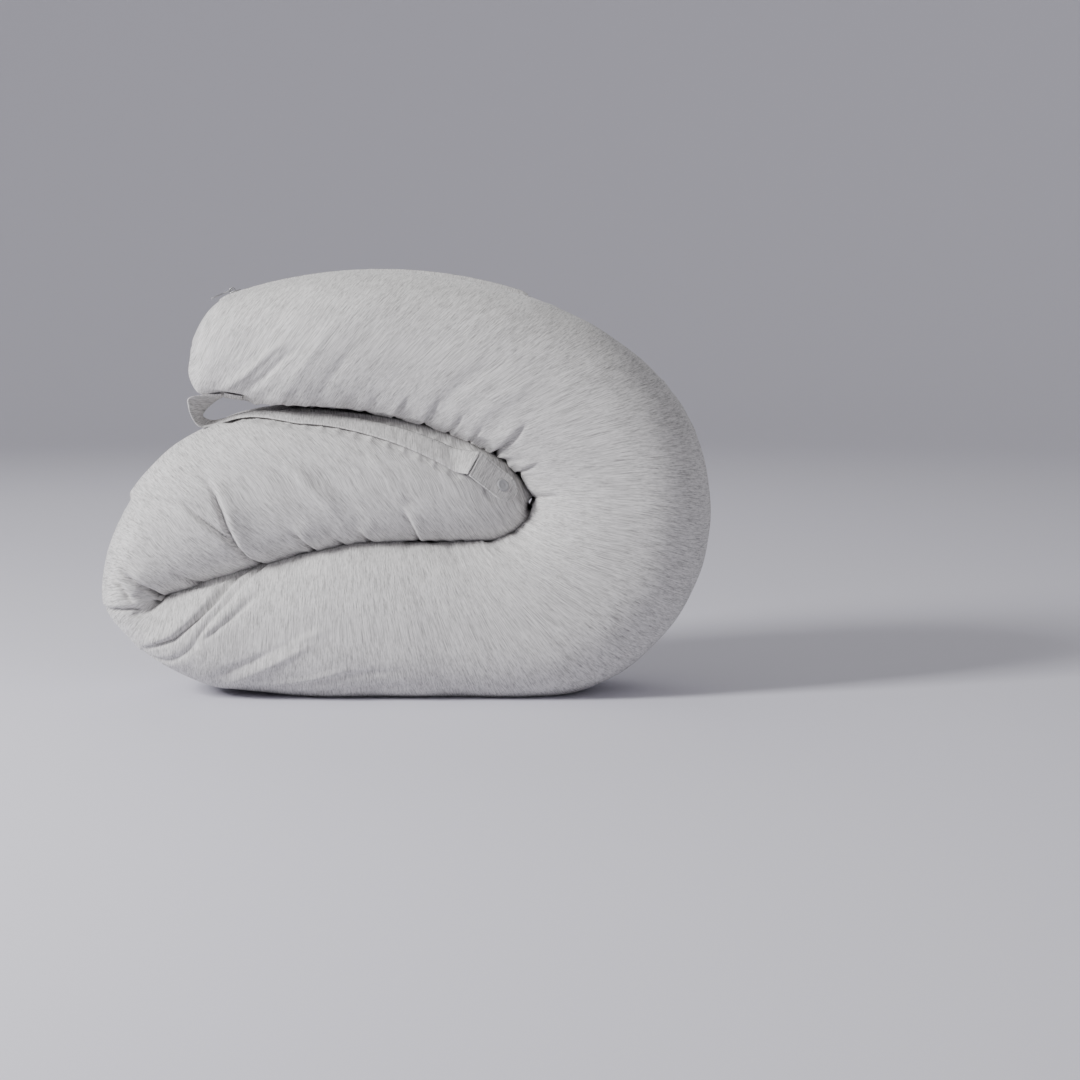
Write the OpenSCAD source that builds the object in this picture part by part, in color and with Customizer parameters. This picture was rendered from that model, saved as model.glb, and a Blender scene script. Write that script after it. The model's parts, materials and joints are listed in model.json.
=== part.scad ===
// Long crescent nursing pillow, folded for storage: the top arm lies on the tucked-in tail,
// and the tail lies on the base arm. +X is to the right, -Y is the front, +Z is up.
// The origin is on the surface that the pillow rests on, under the middle of its outline.

/* [Folded pillow] */
// Width of the folded pillow
fold_w = 610; // [540:1:680]
// Height of the folded pillow
fold_h = 422; // [380:1:480]
// Depth of the folded pillow, front to back
fold_d = 216; // [180:1:250]
// Thickness of the base arm where the tail lies on it
base_h = 156; // [130:1:175]
// Height of the slot that the tail lies in
slot_h = 133; // [110:1:150]
// Height of the line across which the right-hand bend opens
hinge_h = 190; // [178:1:205]
// Thickness of the pillow through the right-hand bend
bend_wall = 180; // [150:1:200]
// Depth of the solid fold at the left, from its outer skin to the end of the crease
fold_wall = 63; // [50:1:80]
// How far the top arm's tip stops short of the left-hand fold
tip_inset = 90; // [60:1:120]
// Thickness of the top arm's tip
tip_h = 72; // [55:1:90]
// Gap left between arms that lie on each other
fold_gap = 3; // [1:0.5:6]

/* [Fabric layers] */
// Thickness of the jersey cover
cover_t = 1; // [0.6:0.1:2]
// Thickness of the inner case
case_t = 0.6; // [0.4:0.1:1.2]
// Gap between two layers
layer_gap = 0.4; // [0.2:0.1:0.8]

/* [Strap] */
// Width of the strap
strap_w = 31; // [24:1:38]
// Thickness of the strap, two layers of jersey
strap_t = 1.6; // [1:0.1:2.4]
// Gap between the strap and what it lies on
strap_gap = 0.4; // [0.3:0.1:0.8]

/* [Zip] */
// Length of the zip along its arc
zip_l = 300; // [220:5:330]
// Width of one tape
tape_w = 11; // [8:0.5:15]
// Thickness of the tape
tape_t = 0.6; // [0.4:0.1:1]
// Width of one row of teeth
coil_w = 2.2; // [1.6:0.1:3]
// Height of a row of teeth
coil_h = 1.6; // [1.2:0.1:2.4]
// Distance of the zip behind the top arm's ridge
zip_y = 17; // [12:1:24]
// Height of the tapes above the cover's upper edge
zip_lift = 0.6; // [0.4:0.1:1.5]
// Length of the slider
slider_l = 11; // [8:0.5:14]
// Running clearance round the slider
slider_gap = 0.35; // [0.2:0.05:0.6]
// Length of the pull tab
pull_l = 24; // [16:1:34]
// Width of the pull tab
pull_w = 7; // [5:0.5:9]
// Thickness of the pull tab
pull_t = 1.4; // [1:0.1:2]

/* [Press stud] */
// Diameter of the press stud's cap
cap_d = 13; // [10:0.5:16]
// Diameter of the stud's post
stud_d = 4; // [3:0.2:5]
// Clearance round the stud in its socket
stud_gap = 0.4; // [0.3:0.05:0.6]
// Length of the tab that carries the press stud
tab_l = 52; // [46:1:60]
// Diameter of the patch that carries the stud
patch_d = 27; // [22:1:32]

/* [Care label] */
// Length of the care label along the seam
label_l = 26; // [18:1:36]
// How far the care label hangs from the seam
label_w = 34; // [24:1:44]
// Thickness of the care label
label_t = 0.5; // [0.3:0.1:0.8]

/* [Hidden] */

JERSEY = "#b5b4b2";
LINING = "#efeee9";
FIBRE = "#fbfbf7";
TAPE = "#9a9a9a";
TEETH = "#8b8b8d";
RESIN = "#c9c9cb";
LABEL = "#f4f4f2";

left = -fold_w / 2;
right = fold_w / 2;
slot_top = base_h + slot_h;
inner_x = right - bend_wall;
tail_l = inner_x - left;              // from the left-hand fold to the inside of the bend
crown_x = left + 278;                 // the top arm's highest point
slot_x = left + 183;                  // where the top arm first meets the tail
tip_x = left + tip_inset;
tip_z = slot_top + 22 + tip_h / 2;    // middle of the top arm's tip
crease_x = left + fold_wall;
crease_z = 0.64 * base_h;
// The top arm's upper edge, which the zip follows: an arc that runs into the outside of the bend.
crown_r = round(pow(right - crown_x, 2) / (fold_h - hinge_h));
crown_z = fold_h - crown_r;
squareness = 2.6;                     // 2 is an ellipse, more is squarer
half_d = fold_d / 2;
ring_n = 20;                          // points round the pillow
joint_gap = 0.6;                      // between the two halves of the bend
floor_sink = 5;                       // how far the base arm is pressed flat

// ---- Outline of the folded pillow ------------------------------------------------------

function arc_z(x) = crown_z + sqrt(crown_r * crown_r - pow(x - crown_x, 2));
function slot_roof(x) =
    hinge_h + (slot_top - hinge_h) * sqrt(max(0, 1 - pow((x - slot_x) / (inner_x - slot_x), 2)));
nose_l = 55;                          // length of the slot's rounded end
function slot_floor(x) =
    x > inner_x - nose_l
        ? hinge_h - (hinge_h - base_h) * sqrt(max(0, 1 - pow((x - inner_x + nose_l) / nose_l, 2)))
        : base_h + (crease_z - base_h) * pow(max(0, (left + 269 - x) / (left + 269 - crease_x)), 1.25);

// A rib is [inner x, inner z, outer x, outer z, half depth]: a line across the pillow from the
// edge inside the fold to the outer edge. The ribs run from the top arm's tip to the tail's end.
function upper_bend(a) = [
    slot_x + (inner_x - slot_x) * sin(a), hinge_h + (slot_top - hinge_h) * cos(a),
    crown_x + (right - crown_x) * sin(a), hinge_h + (fold_h - hinge_h) * cos(a),
    half_d - 6 + 4 * a / 90
];
foot_x = right - 175;                 // where the lower bend meets the floor
function lower_bend(a) =
    let (ix = inner_x - (a / 90) * (nose_l + 30))
    [
        ix, slot_floor(ix),
        foot_x + (right - foot_x) * cos(a), hinge_h - (hinge_h + floor_sink) * sin(a),
        half_d - 2 + 2 * sin(a)
    ];
function base_rib(x, lean, lift, depth) =
    [x, slot_floor(x), x - lean, lift - floor_sink, depth];
function tail_rib(ix, ox, depth) =
    [ix, slot_floor(ix) + fold_gap / 2, ox, slot_roof(ox) - fold_gap, depth];

top_ribs = [
    [tip_x - 3, tip_z - 0.30 * tip_h, tip_x + 4, tip_z + 0.33 * tip_h, 62],
    [tip_x + 12, slot_top + 15, tip_x + 33, arc_z(tip_x + 33), 78],
    [tip_x + 50, slot_top + 6, tip_x + 108, arc_z(tip_x + 108), 92]
];
upper_bend_ribs = [for (a = [0 : 15 : 90]) upper_bend(a)];
lower_bend_ribs = [for (a = [18 : 18 : 90]) lower_bend(a)];
base_ribs = [
    base_rib(left + 305, -45, 0, half_d),
    base_rib(left + 262, -20, 0, half_d),
    base_rib(left + 220, 4, 0, half_d - 1),
    base_rib(left + 172, 10, 5, half_d - 3),
    base_rib(left + 122, 12, 12, half_d - 6)
];
fold_ribs = [
    [crease_x + 24, slot_floor(crease_x + 24), left + 70, 24, half_d - 10],
    [crease_x + 6, slot_floor(crease_x + 6), left + 33, 51, half_d - 16],
    [crease_x, crease_z, left + 2, crease_z - 9, half_d - 20],
    [crease_x + 2, crease_z + 2, left + 4, crease_z + 38, half_d - 18],
    [crease_x + 10, slot_floor(crease_x + 10) + fold_gap / 2, left + 21, crease_z + 84, half_d - 14],
    [crease_x + 28, slot_floor(crease_x + 28) + fold_gap / 2, left + 47, crease_z + 122, half_d - 11]
];
tail_ribs = [
    [left + 122, slot_floor(left + 122) + fold_gap / 2, left + 82, crease_z + 154, half_d - 9],
    [left + 162, slot_floor(left + 162) + fold_gap / 2, left + 128, slot_top - 12, half_d - 8],
    tail_rib(left + 208 / 430 * tail_l, left + 183 / 430 * tail_l, half_d - 8),
    tail_rib(left + 258 / 430 * tail_l, left + 242 / 430 * tail_l, half_d - 9),
    tail_rib(left + 310 / 430 * tail_l, left + 302 / 430 * tail_l, half_d - 12),
    tail_rib(left + 358 / 430 * tail_l, left + 354 / 430 * tail_l, half_d - 18),
    tail_rib(inner_x - 35, inner_x - 36, half_d - 28),
    [inner_x - 9, hinge_h - 16, inner_x - 9, hinge_h + 17, half_d - 40],
    [inner_x - 4, hinge_h - 12, inner_x - 4, hinge_h + 13, half_d - 46]
];
ribs = concat(top_ribs, upper_bend_ribs, lower_bend_ribs, base_ribs, fold_ribs, tail_ribs);

s_joint = len(top_ribs) + len(upper_bend_ribs) - 1;
s_foot = s_joint + len(lower_bend_ribs);
s_fold = s_foot + len(base_ribs) + 3;
s_end = len(ribs) - 1;

function ease(x) = let (u = min(1, max(0, x))) u * u * (3 - 2 * u);
function pick(i) = ribs[min(s_end, max(0, i))];
function rib_at(s) =
    let (i = min(s_end - 1, floor(s)), u = s - i)
    let (p = pick(i - 1), q = pick(i), r = pick(i + 1), t = pick(i + 2))
    0.5 * (2 * q + (r - p) * u + (2 * p - 5 * q + 4 * r - t) * u * u + (3 * q - p - 3 * r + t) * u * u * u);

// The skin closes to a rounded end over the first and last stretch of ribs.
top_cap = 1.2;
tail_cap = 1.6;
step_per_mm = 0.04;                   // ribs per millimetre near an end
function closing(s, off) =
    let (near = min((s - off * step_per_mm) / top_cap, (s_end - off * step_per_mm - s) / tail_cap))
    sqrt(max(0, 1 - pow(1 - min(1, max(0, near)), 2)));

// The seams lie on the inner and outer edges, and turn half round as they pass the left-hand fold.
zip_lean = -7;
function seam_turn(s) = zip_lean * (1 - ease((s - s_joint) / 4)) - 180 * ease((s - s_foot - 1.6) / 8);

function bulge(x) = sign(x) * pow(abs(x), 2 / squareness);

// A point of the skin: s along the pillow, a degrees round it (0 is the outer edge, 90 the front),
// off millimetres inside the outer skin.
function skin(s, a, off) =
    let (
        r = rib_at(s),
        mid = [r[0] + r[2], r[1] + r[3]] / 2,
        half = [r[2] - r[0], r[3] - r[1]] / 2,
        shut = closing(s, off),
        tall = max(0.5, norm(half) * shut - off),
        deep = max(0.5, r[4] * shut - off),
        p = mid + half / norm(half) * tall * bulge(cos(a)),
        z = s <= s_joint ? max(p[1], hinge_h + joint_gap / 2) : p[1]
    )
    [p[0], -deep * bulge(sin(a)), s > s_joint && s < s_fold ? min(max(z, off), hinge_h - joint_gap / 2) : z];

// Stations along one length of the pillow. A length that starts or ends at a tip gets closer ones there.
function cap_steps(span, off) =
    [for (k = [0 : 4]) off * step_per_mm + (span - off * step_per_mm) * (1 - cos(k * 22.5)) + 0.004];
function top_stations(off) = concat(
    cap_steps(top_cap, off),
    [for (s = [1.5 : 0.5 : s_joint - 0.5]) s],
    [s_joint]
);
function base_stations() = concat(
    [s_joint + 0.001],
    [for (s = [s_joint + 0.5 : 0.5 : s_fold - 0.5]) s],
    [s_fold - 0.0001]
);
function tail_stations(off) = concat(
    [for (s = [s_fold + 0.0001 : 0.5 : s_end - tail_cap - 0.1]) s],
    [for (k = [4 : -1 : 0]) s_end - cap_steps(tail_cap, off)[k]]
);

// ---- Solids from sections --------------------------------------------------------------

// Joins a row of equal closed sections. hollow is true for a section that folds back on itself:
// its two ends are closed strip by strip, and its inner facets are split the same way as its outer ones.
module loft(sections, hollow = false) {
    n = len(sections[0]);
    m = len(sections);
    half = n / 2;
    sides = [
        for (j = [0 : m - 2], k = [0 : n - 1], side = [0, 1])
            let (a = j * n + k, b = j * n + (k + 1) % n)
            hollow && k >= half
                ? (side == 0 ? [a + n, b, a] : [a + n, b + n, b])
                : (side == 0 ? [b + n, b, a] : [a + n, b + n, a])
    ];
    strips = [
        for (k = [0 : half - 2], side = [0, 1])
            side == 0 ? [n - 2 - k, n - 1 - k, k] : [k + 1, n - 2 - k, k]
    ];
    last = (m - 1) * n;
    caps = hollow
        ? concat(strips, [for (f = strips) [last + f[2], last + f[1], last + f[0]]])
        : [[for (k = [0 : n - 1]) k], [for (k = [n - 1 : -1 : 0]) last + k]];
    polyhedron(points = [for (section = sections) each section], faces = concat(sides, caps), convexity = 8);
}

module panel(outer, inner, off, t, side) {
    steps = [for (k = [0 : ring_n / 2]) k * 360 / ring_n + side * 180];
    loft([
        for (j = [0 : len(outer) - 1]) concat(
            [for (a = steps) skin(outer[j], seam_turn(outer[j]) + a, off)],
            [for (k = [len(steps) - 1 : -1 : 0]) skin(inner[j], seam_turn(inner[j]) + steps[k], off + t)]
        )
    ], hollow = true);
}

module full(stations, off) {
    loft([
        for (s = stations) [
            for (k = [0 : ring_n - 1]) skin(s, seam_turn(s) + k * 360 / ring_n, off)
        ]
    ]);
}

// A thin band of fabric through rows of points, its thickness shared to both sides.
module band(rows, t) {
    n = len(rows[0]);
    m = len(rows);
    function along(j, k) = rows[min(m - 1, j + 1)][k] - rows[max(0, j - 1)][k];
    function across(j, k) = rows[j][min(n - 1, k + 1)] - rows[j][max(0, k - 1)];
    function normal(j, k) = let (v = cross(across(j, k), along(j, k))) v / norm(v);
    loft([
        for (j = [0 : m - 1]) concat(
            [for (k = [0 : n - 1]) rows[j][k] + normal(j, k) * t / 2],
            [for (k = [n - 1 : -1 : 0]) rows[j][k] - normal(j, k) * t / 2]
        )
    ], hollow = true);
}

// The angle reached on the skin by walking w millimetres round it from angle a, a degree at a time.
function walk(s, a, w, step) =
    w <= 0 ? a : walk(s, a + step, w - norm(skin(s, a + step, 0) - skin(s, a, 0)), step);

// A row of points w wide that lies high above the skin, from angle a towards the outer edge or away.
function row_on_skin(s, a, w, high, step) =
    let (b = walk(s, a, w, step))
    [for (k = [0 : 4]) skin(s, a + (b - a) * k / 4, -high)];

function row_between(a, b) = [for (k = [0 : 4]) a + (b - a) * k / 4];

// ---- Cover, inner case and filling -----------------------------------------------------

case_off = cover_t + layer_gap;
filling_off = case_off + case_t + layer_gap;
FRONT = 0;
BACK = 1;

module cover_top(side) {
    color(JERSEY) panel(top_stations(0), top_stations(cover_t), 0, cover_t, side);
}
module cover_base(side) {
    color(JERSEY) panel(base_stations(), base_stations(), 0, cover_t, side);
}
module cover_tail(side) {
    color(JERSEY) panel(tail_stations(0), tail_stations(cover_t), 0, cover_t, side);
}
module case_top(side) {
    color(LINING) panel(top_stations(case_off), top_stations(case_off + case_t), case_off, case_t, side);
}
module case_base(side) {
    color(LINING) panel(base_stations(), base_stations(), case_off, case_t, side);
}
module case_tail(side) {
    color(LINING) panel(tail_stations(case_off), tail_stations(case_off + case_t), case_off, case_t, side);
}
module filling_top() {
    color(FIBRE) full(top_stations(filling_off), filling_off);
}
module filling_base() {
    color(FIBRE) full(base_stations(), filling_off);
}
module filling_tail() {
    color(FIBRE) full(tail_stations(filling_off), filling_off);
}

// ---- Strap, sewn under the top arm's tip and buttoned to the tail's end -----------------

strap_high = strap_gap + strap_t / 2;  // middle of the strap above what it lies on
anchor_s = 1.62;                       // rib where the sewn end starts
anchor_l = 0.42;                       // how many ribs it covers
anchor_a = 166;

// The strap hangs from the tip, turns back, and runs to the right between the arms.
// Each place is its [front edge, back edge], from the tip and the top of the slot.
strap_turn = [
    [[3, -57, 11], [24, -31, 4]],
    [[1, -60, 0], [15, -32, -4]],
    [[6, -61, -13], [13, -32, -10]],
    [[13, -59, -20], [20, -31, -14]],
    [[25, -55, -19], [31, -26, -13]]
];

tail_s0 = s_fold + 5.15;               // ribs between which the strap lies on the tail
tail_s1 = s_fold + 9;
function strap_front(s) =
    22 + 20 * ease((s - tail_s0) / 1.3) + 42 * pow(max(0, (s - s_fold - 6.6) / 3), 1.3);
function tail_row(s) =
    row_on_skin(s, walk(s, strap_front(s), strap_w, -1), strap_w, strap_high, 1);

// The strap ends in a flat tab, carried by the press stud on the shoulder of the tail's end.
part_gap = 0.1;                        // between pieces pressed together
cap_t = 1.2;
socket_t = 1.8;
patch_t = 1.2;
washer_t = 0.6;
popper_x = tab_l - 17;                 // from the tab's root to the stud
tab_high = socket_t + 2 * washer_t + patch_t + 4 * part_gap + strap_gap;
tab_s = s_fold + 10.2;
tab_a = 72;
popper_at = skin(tab_s, tab_a, -tab_high);
function unit(v) = v / norm(v);
tab_out = unit(cross(
    skin(tab_s + 0.1, tab_a, 0) - skin(tab_s - 0.1, tab_a, 0),
    skin(tab_s, tab_a - 4, 0) - skin(tab_s, tab_a + 4, 0)
));
tab_from = popper_at - tail_row(tail_s1)[2];
tab_dir = unit(tab_from - (tab_from * tab_out) * tab_out);
tab_up = cross(tab_out, tab_dir);
tab_root = popper_at - popper_x * tab_dir;
tab_edge = tab_root - 3 * strap_gap * tab_dir + tab_out * strap_t / 2;

// Places things on the tab's inner face: along it from its root, and out from it.
module on_tab(along, out) {
    multmatrix([for (k = [0 : 2])
        [tab_dir[k], tab_up[k], tab_out[k], tab_root[k] + along * tab_dir[k] + out * tab_out[k]]])
        children();
}

strap_rows = concat(
    [row_on_skin(anchor_s - 0.06, anchor_a, strap_w, strap_high, -1)],
    [for (p = strap_turn) row_between(
        [tip_x + p[1][0], p[1][1], slot_top + p[1][2]],
        [tip_x + p[0][0], p[0][1], slot_top + p[0][2]]
    )],
    [for (k = [0 : 14]) tail_row(tail_s0 + (tail_s1 - tail_s0) * k / 14)],
    [row_between(tab_edge + tab_up * strap_w / 2, tab_edge - tab_up * strap_w / 2)]
);

module strap() {
    color(JERSEY) band(strap_rows, strap_t);
}

module strap_anchor() {
    color(JERSEY) band([
        for (k = [0 : 3]) row_on_skin(anchor_s + anchor_l * k / 3, anchor_a, strap_w, strap_high, -1)
    ], strap_t);
}

// ---- Press stud ------------------------------------------------------------------------

module popper_tab() {
    color(JERSEY) on_tab(0, 0) difference() {
        linear_extrude(strap_t) union() {
            translate([0, -strap_w / 2]) square([tab_l - strap_w / 2, strap_w]);
            translate([tab_l - strap_w / 2, 0]) circle(d = strap_w, $fn = 64);
        }
        translate([popper_x, 0, -1]) cylinder(d = stud_d + 2 * part_gap, h = strap_t + 2, $fn = 48);
    }
}

module popper_cap() {
    color(RESIN) on_tab(popper_x, strap_t + part_gap) union() {
        cylinder(d = cap_d, h = 0.6 * cap_t, $fn = 64);
        translate([0, 0, 0.6 * cap_t]) cylinder(d1 = cap_d, d2 = 0.72 * cap_d, h = 0.4 * cap_t, $fn = 64);
        translate([0, 0, -strap_t]) cylinder(d = stud_d - 2 * part_gap, h = strap_t, $fn = 48);
    }
}

module popper_socket() {
    color(RESIN) on_tab(popper_x, -socket_t - part_gap) difference() {
        cylinder(d = cap_d - 1, h = socket_t, $fn = 64);
        translate([0, 0, -1]) cylinder(d = stud_d + 2 * stud_gap, h = socket_t + 2, $fn = 48);
    }
}

module popper_stud() {
    color(RESIN) on_tab(popper_x, -socket_t - 2 * part_gap - washer_t) union() {
        cylinder(d = cap_d - 1, h = washer_t, $fn = 64);
        cylinder(d = stud_d, h = washer_t + 0.8 * socket_t, $fn = 48);
    }
}

module popper_patch() {
    color(JERSEY) on_tab(popper_x, -socket_t - 3 * part_gap - washer_t - patch_t)
        cylinder(d = patch_d, h = patch_t, $fn = 64);
}

module popper_washer() {
    color(RESIN) on_tab(popper_x, -socket_t - 4 * part_gap - 2 * washer_t - patch_t)
        cylinder(d = cap_d - 1, h = washer_t, $fn = 64);
}

// ---- Zip along the top arm's upper edge ------------------------------------------------

zip_r = crown_r + zip_lift;            // underside of the tapes
mm = 180 / PI / zip_r;                 // degrees of the arc per millimetre
zip_start = -round(asin((crown_x - tip_x - 33) / zip_r));   // degrees from the crown to the closed end
zip_end = zip_start + zip_l * mm;
stop_l = 3;
teeth_top = tape_t + coil_h;
slider_at = zip_start + (stop_l + slider_l / 2 + 0.5) * mm;

// A bar with a rectangular section that follows the arc, from one angle to another.
module arc_bar(from, to, low, high, y0, y1) {
    translate([crown_x, 0, crown_z]) rotate([-90, 0, 0]) rotate([0, 0, from - 90])
        rotate_extrude(angle = to - from, $fn = 180)
            translate([zip_r + low, y0]) square([high - low, y1 - y0]);
}

seam_gap = 0.05;                       // half the gap between the two rows of teeth
module zip_tape(side) {
    color(TAPE) arc_bar(zip_start, zip_end, 0, tape_t,
        side > 0 ? zip_y + coil_w / 2 : zip_y - tape_w, side > 0 ? zip_y + tape_w : zip_y - coil_w / 2);
}
module zip_teeth(side) {
    color(TEETH) arc_bar(zip_start + stop_l * mm, zip_end - stop_l * mm, tape_t, teeth_top,
        side > 0 ? zip_y + seam_gap : zip_y - coil_w, side > 0 ? zip_y + coil_w : zip_y - seam_gap);
}
module zip_stop(from) {
    color(RESIN) arc_bar(from, from + (stop_l - 0.2) * mm, tape_t, teeth_top, zip_y - coil_w, zip_y + coil_w);
}

plate_t = 0.9;
flange_t = 0.9;
module zip_slider() {
    from = slider_at - slider_l / 2 * mm;
    to = slider_at + slider_l / 2 * mm;
    inner = coil_w + slider_gap;
    color(RESIN) union() {
        arc_bar(from, to, teeth_top + slider_gap, teeth_top + slider_gap + plate_t,
            zip_y - inner - flange_t, zip_y + inner + flange_t);
        for (side = [-1, 1])
            arc_bar(from, to, tape_t + slider_gap, teeth_top + slider_gap + plate_t,
                zip_y + side * (inner + flange_t / 2) - flange_t / 2,
                zip_y + side * (inner + flange_t / 2) + flange_t / 2);
        on_slider(0) for (end = [-1, 1])
            translate([end * bridge_l / 2 - bridge_t / 2, -bridge_t / 2, -0.3])
                cube([bridge_t, bridge_t, bridge_h + 0.3]);
        on_slider(0) translate([-bridge_l / 2 - bridge_t / 2, -bridge_t / 2, bridge_h - bridge_t])
            cube([bridge_l + bridge_t, bridge_t, bridge_t]);
    }
}

// Places things on the slider's upper plate, turned as the zip's arc is there.
bridge_l = 5;
bridge_h = 4.2;
bridge_t = 1.1;
bridge_x = -2.3;                       // towards the slider's closed end
plate_top = zip_r + teeth_top + slider_gap + plate_t;
module on_slider(out) {
    translate([crown_x, zip_y, crown_z]) rotate([0, slider_at, 0]) translate([bridge_x, 0, plate_top + out])
        children();
}

pull_bar_d = 1.4;
pull_droop = 5;                        // the pull lies down over the closed end
module zip_pull() {
    slot = bridge_t + 2 * slider_gap;
    slot_l = 6;
    color(RESIN) on_slider(1.8) rotate([0, -pull_droop, 0]) union() {
        rotate([90, 0, 0]) translate([0, 0, -pull_w / 2]) cylinder(d = pull_bar_d, h = pull_w, $fn = 32);
        difference() {
            translate([-pull_l, -pull_w / 2, -pull_t / 2]) cube([pull_l, pull_w, pull_t]);
            translate([-slot_l, -slot / 2, -pull_t]) cube([slot_l - pull_bar_d / 2, slot, 2 * pull_t]);
        }
    }
}

// ---- Care label, sewn into the outer seam at the back ----------------------------------

label_s = s_joint - 1.35;              // rib where it starts
module care_label() {
    a0 = seam_turn(label_s) - 3;
    ribs_long = label_l / norm(skin(label_s, a0, 0) - skin(label_s + 1, a0, 0));
    color(LABEL) band([
        for (k = [0 : 3]) row_on_skin(label_s + ribs_long * k / 3, a0, label_w, strap_gap + label_t / 2, -1)
    ], label_t);
}

cover_top(FRONT);  // cover_front_top
cover_top(BACK);  // cover_back_top
cover_base(FRONT);  // cover_front_base
cover_base(BACK);  // cover_back_base
cover_tail(FRONT);  // cover_front_tail
cover_tail(BACK);  // cover_back_tail
case_top(FRONT);  // case_front_top
case_top(BACK);  // case_back_top
case_base(FRONT);  // case_front_base
case_base(BACK);  // case_back_base
case_tail(FRONT);  // case_front_tail
case_tail(BACK);  // case_back_tail
filling_top();
filling_base();
filling_tail();
strap();
strap_anchor();
popper_tab();
popper_cap();
popper_socket();
popper_stud();
popper_washer();
popper_patch();
zip_tape(-1);  // zip_tape_front
zip_tape(1);  // zip_tape_back
zip_teeth(-1);  // zip_teeth_front
zip_teeth(1);  // zip_teeth_back
zip_stop(zip_start);  // zip_stop_closed
zip_stop(zip_end - (stop_l - 0.2) * mm);  // zip_stop_open
zip_slider();
zip_pull();
care_label();
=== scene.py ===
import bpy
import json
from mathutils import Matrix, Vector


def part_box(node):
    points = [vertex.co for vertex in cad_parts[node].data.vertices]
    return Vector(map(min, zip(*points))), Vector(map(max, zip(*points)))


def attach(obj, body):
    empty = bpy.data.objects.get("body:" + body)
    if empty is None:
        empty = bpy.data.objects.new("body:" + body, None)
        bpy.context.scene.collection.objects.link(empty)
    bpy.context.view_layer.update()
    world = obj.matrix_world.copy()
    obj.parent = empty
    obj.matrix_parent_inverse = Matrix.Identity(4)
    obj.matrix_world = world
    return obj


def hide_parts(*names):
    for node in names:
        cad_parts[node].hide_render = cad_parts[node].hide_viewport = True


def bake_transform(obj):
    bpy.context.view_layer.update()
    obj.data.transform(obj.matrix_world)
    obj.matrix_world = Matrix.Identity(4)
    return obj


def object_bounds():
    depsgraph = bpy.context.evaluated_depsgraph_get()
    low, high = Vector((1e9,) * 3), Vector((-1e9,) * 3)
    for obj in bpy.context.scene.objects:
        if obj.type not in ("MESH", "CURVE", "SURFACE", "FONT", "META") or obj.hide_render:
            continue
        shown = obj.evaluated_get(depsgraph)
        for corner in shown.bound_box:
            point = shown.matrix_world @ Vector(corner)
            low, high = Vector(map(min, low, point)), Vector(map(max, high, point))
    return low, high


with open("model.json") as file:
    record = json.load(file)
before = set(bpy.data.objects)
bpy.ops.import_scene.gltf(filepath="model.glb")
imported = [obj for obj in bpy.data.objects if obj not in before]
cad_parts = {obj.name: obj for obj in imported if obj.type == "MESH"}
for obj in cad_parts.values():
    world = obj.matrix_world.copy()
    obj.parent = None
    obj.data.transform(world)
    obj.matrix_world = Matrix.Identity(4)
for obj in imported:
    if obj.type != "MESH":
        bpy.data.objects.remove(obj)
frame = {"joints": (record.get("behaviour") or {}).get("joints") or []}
cad_box = [list(corner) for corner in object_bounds()]

import json
import math

import bmesh
import bpy
import numpy as np
from mathutils import Matrix, Vector, noise
from mathutils.kdtree import KDTree

# ---- Camera and light -----------------------------------------------------------------------
# A studio table with one broad soft light at the upper left, a weaker one at the right and pale
# surroundings. The camera looks slightly down from the front, a little to the right of the pillow.

lens_mm = 92.6
camera_away = 2.76
camera_pitch = math.radians(6)
look_at = Vector((0.133, -0.05, 0.157))
camera = bpy.data.objects.new("camera", bpy.data.cameras.new("camera"))
camera.data.lens = lens_mm
camera.data.sensor_width = 36
camera.location = look_at + camera_away * Vector((0, -math.cos(camera_pitch), math.sin(camera_pitch)))
camera.rotation_euler = (math.radians(90) - camera_pitch, 0, 0)
bpy.context.collection.objects.link(camera)
bpy.context.scene.camera = camera


def soft_light(name, watts, width, place, aim):
    light = bpy.data.objects.new(name, bpy.data.lights.new(name, "AREA"))
    light.data.energy = watts
    light.data.size = width
    light.location = place
    light.rotation_euler = (Vector(aim) - Vector(place)).to_track_quat("-Z", "Y").to_euler()
    bpy.context.collection.objects.link(light)


soft_light("key_light", 130, 0.8, (-2.25, -1.45, 1.6), (-0.15, 0, 0.2))
soft_light("fill_light", 4, 2.0, (2.3, -1.9, 1.0), (0, 0, 0.2))
soft_light("back_light", 9, 1.6, (-0.6, 2.2, 1.9), (0, 0, 0.2))

world = bpy.data.worlds.new("studio")
world.use_nodes = True
world.node_tree.nodes["Background"].inputs["Color"].default_value = (0.93, 0.922, 0.925, 1)
world.node_tree.nodes["Background"].inputs["Strength"].default_value = 0.42
bpy.context.scene.world = world

floor_flat = 3.6
floor_rise = 3.0
floor_rings = [(0.0, 0.0), (floor_flat, 0.0)]
floor_rings += [(floor_flat + floor_rise * math.sin(t), floor_rise * (1 - math.cos(t)))
                for t in np.radians(np.arange(6, 91, 6))]
bm = bmesh.new()
profile = [bm.verts.new((r, 0, z)) for r, z in floor_rings]
for low, high in zip(profile, profile[1:]):
    bm.edges.new((low, high))
bmesh.ops.spin(bm, geom=bm.verts[:] + bm.edges[:], cent=(0, 0, 0), axis=(0, 0, 1),
               angle=2 * math.pi, steps=96, use_merge=True)
bmesh.ops.remove_doubles(bm, verts=bm.verts[:], dist=1e-4)
floor_mesh = bpy.data.meshes.new("floor")
bm.to_mesh(floor_mesh)
bm.free()
floor_mesh.shade_smooth()
floor = bpy.data.objects.new("floor", floor_mesh)
bpy.context.collection.objects.link(floor)
floor_paint = bpy.data.materials.new("floor")
floor_paint.use_nodes = True
floor_paint.node_tree.nodes["Principled BSDF"].inputs["Base Color"].default_value = (0.70, 0.69, 0.765, 1)
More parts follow.
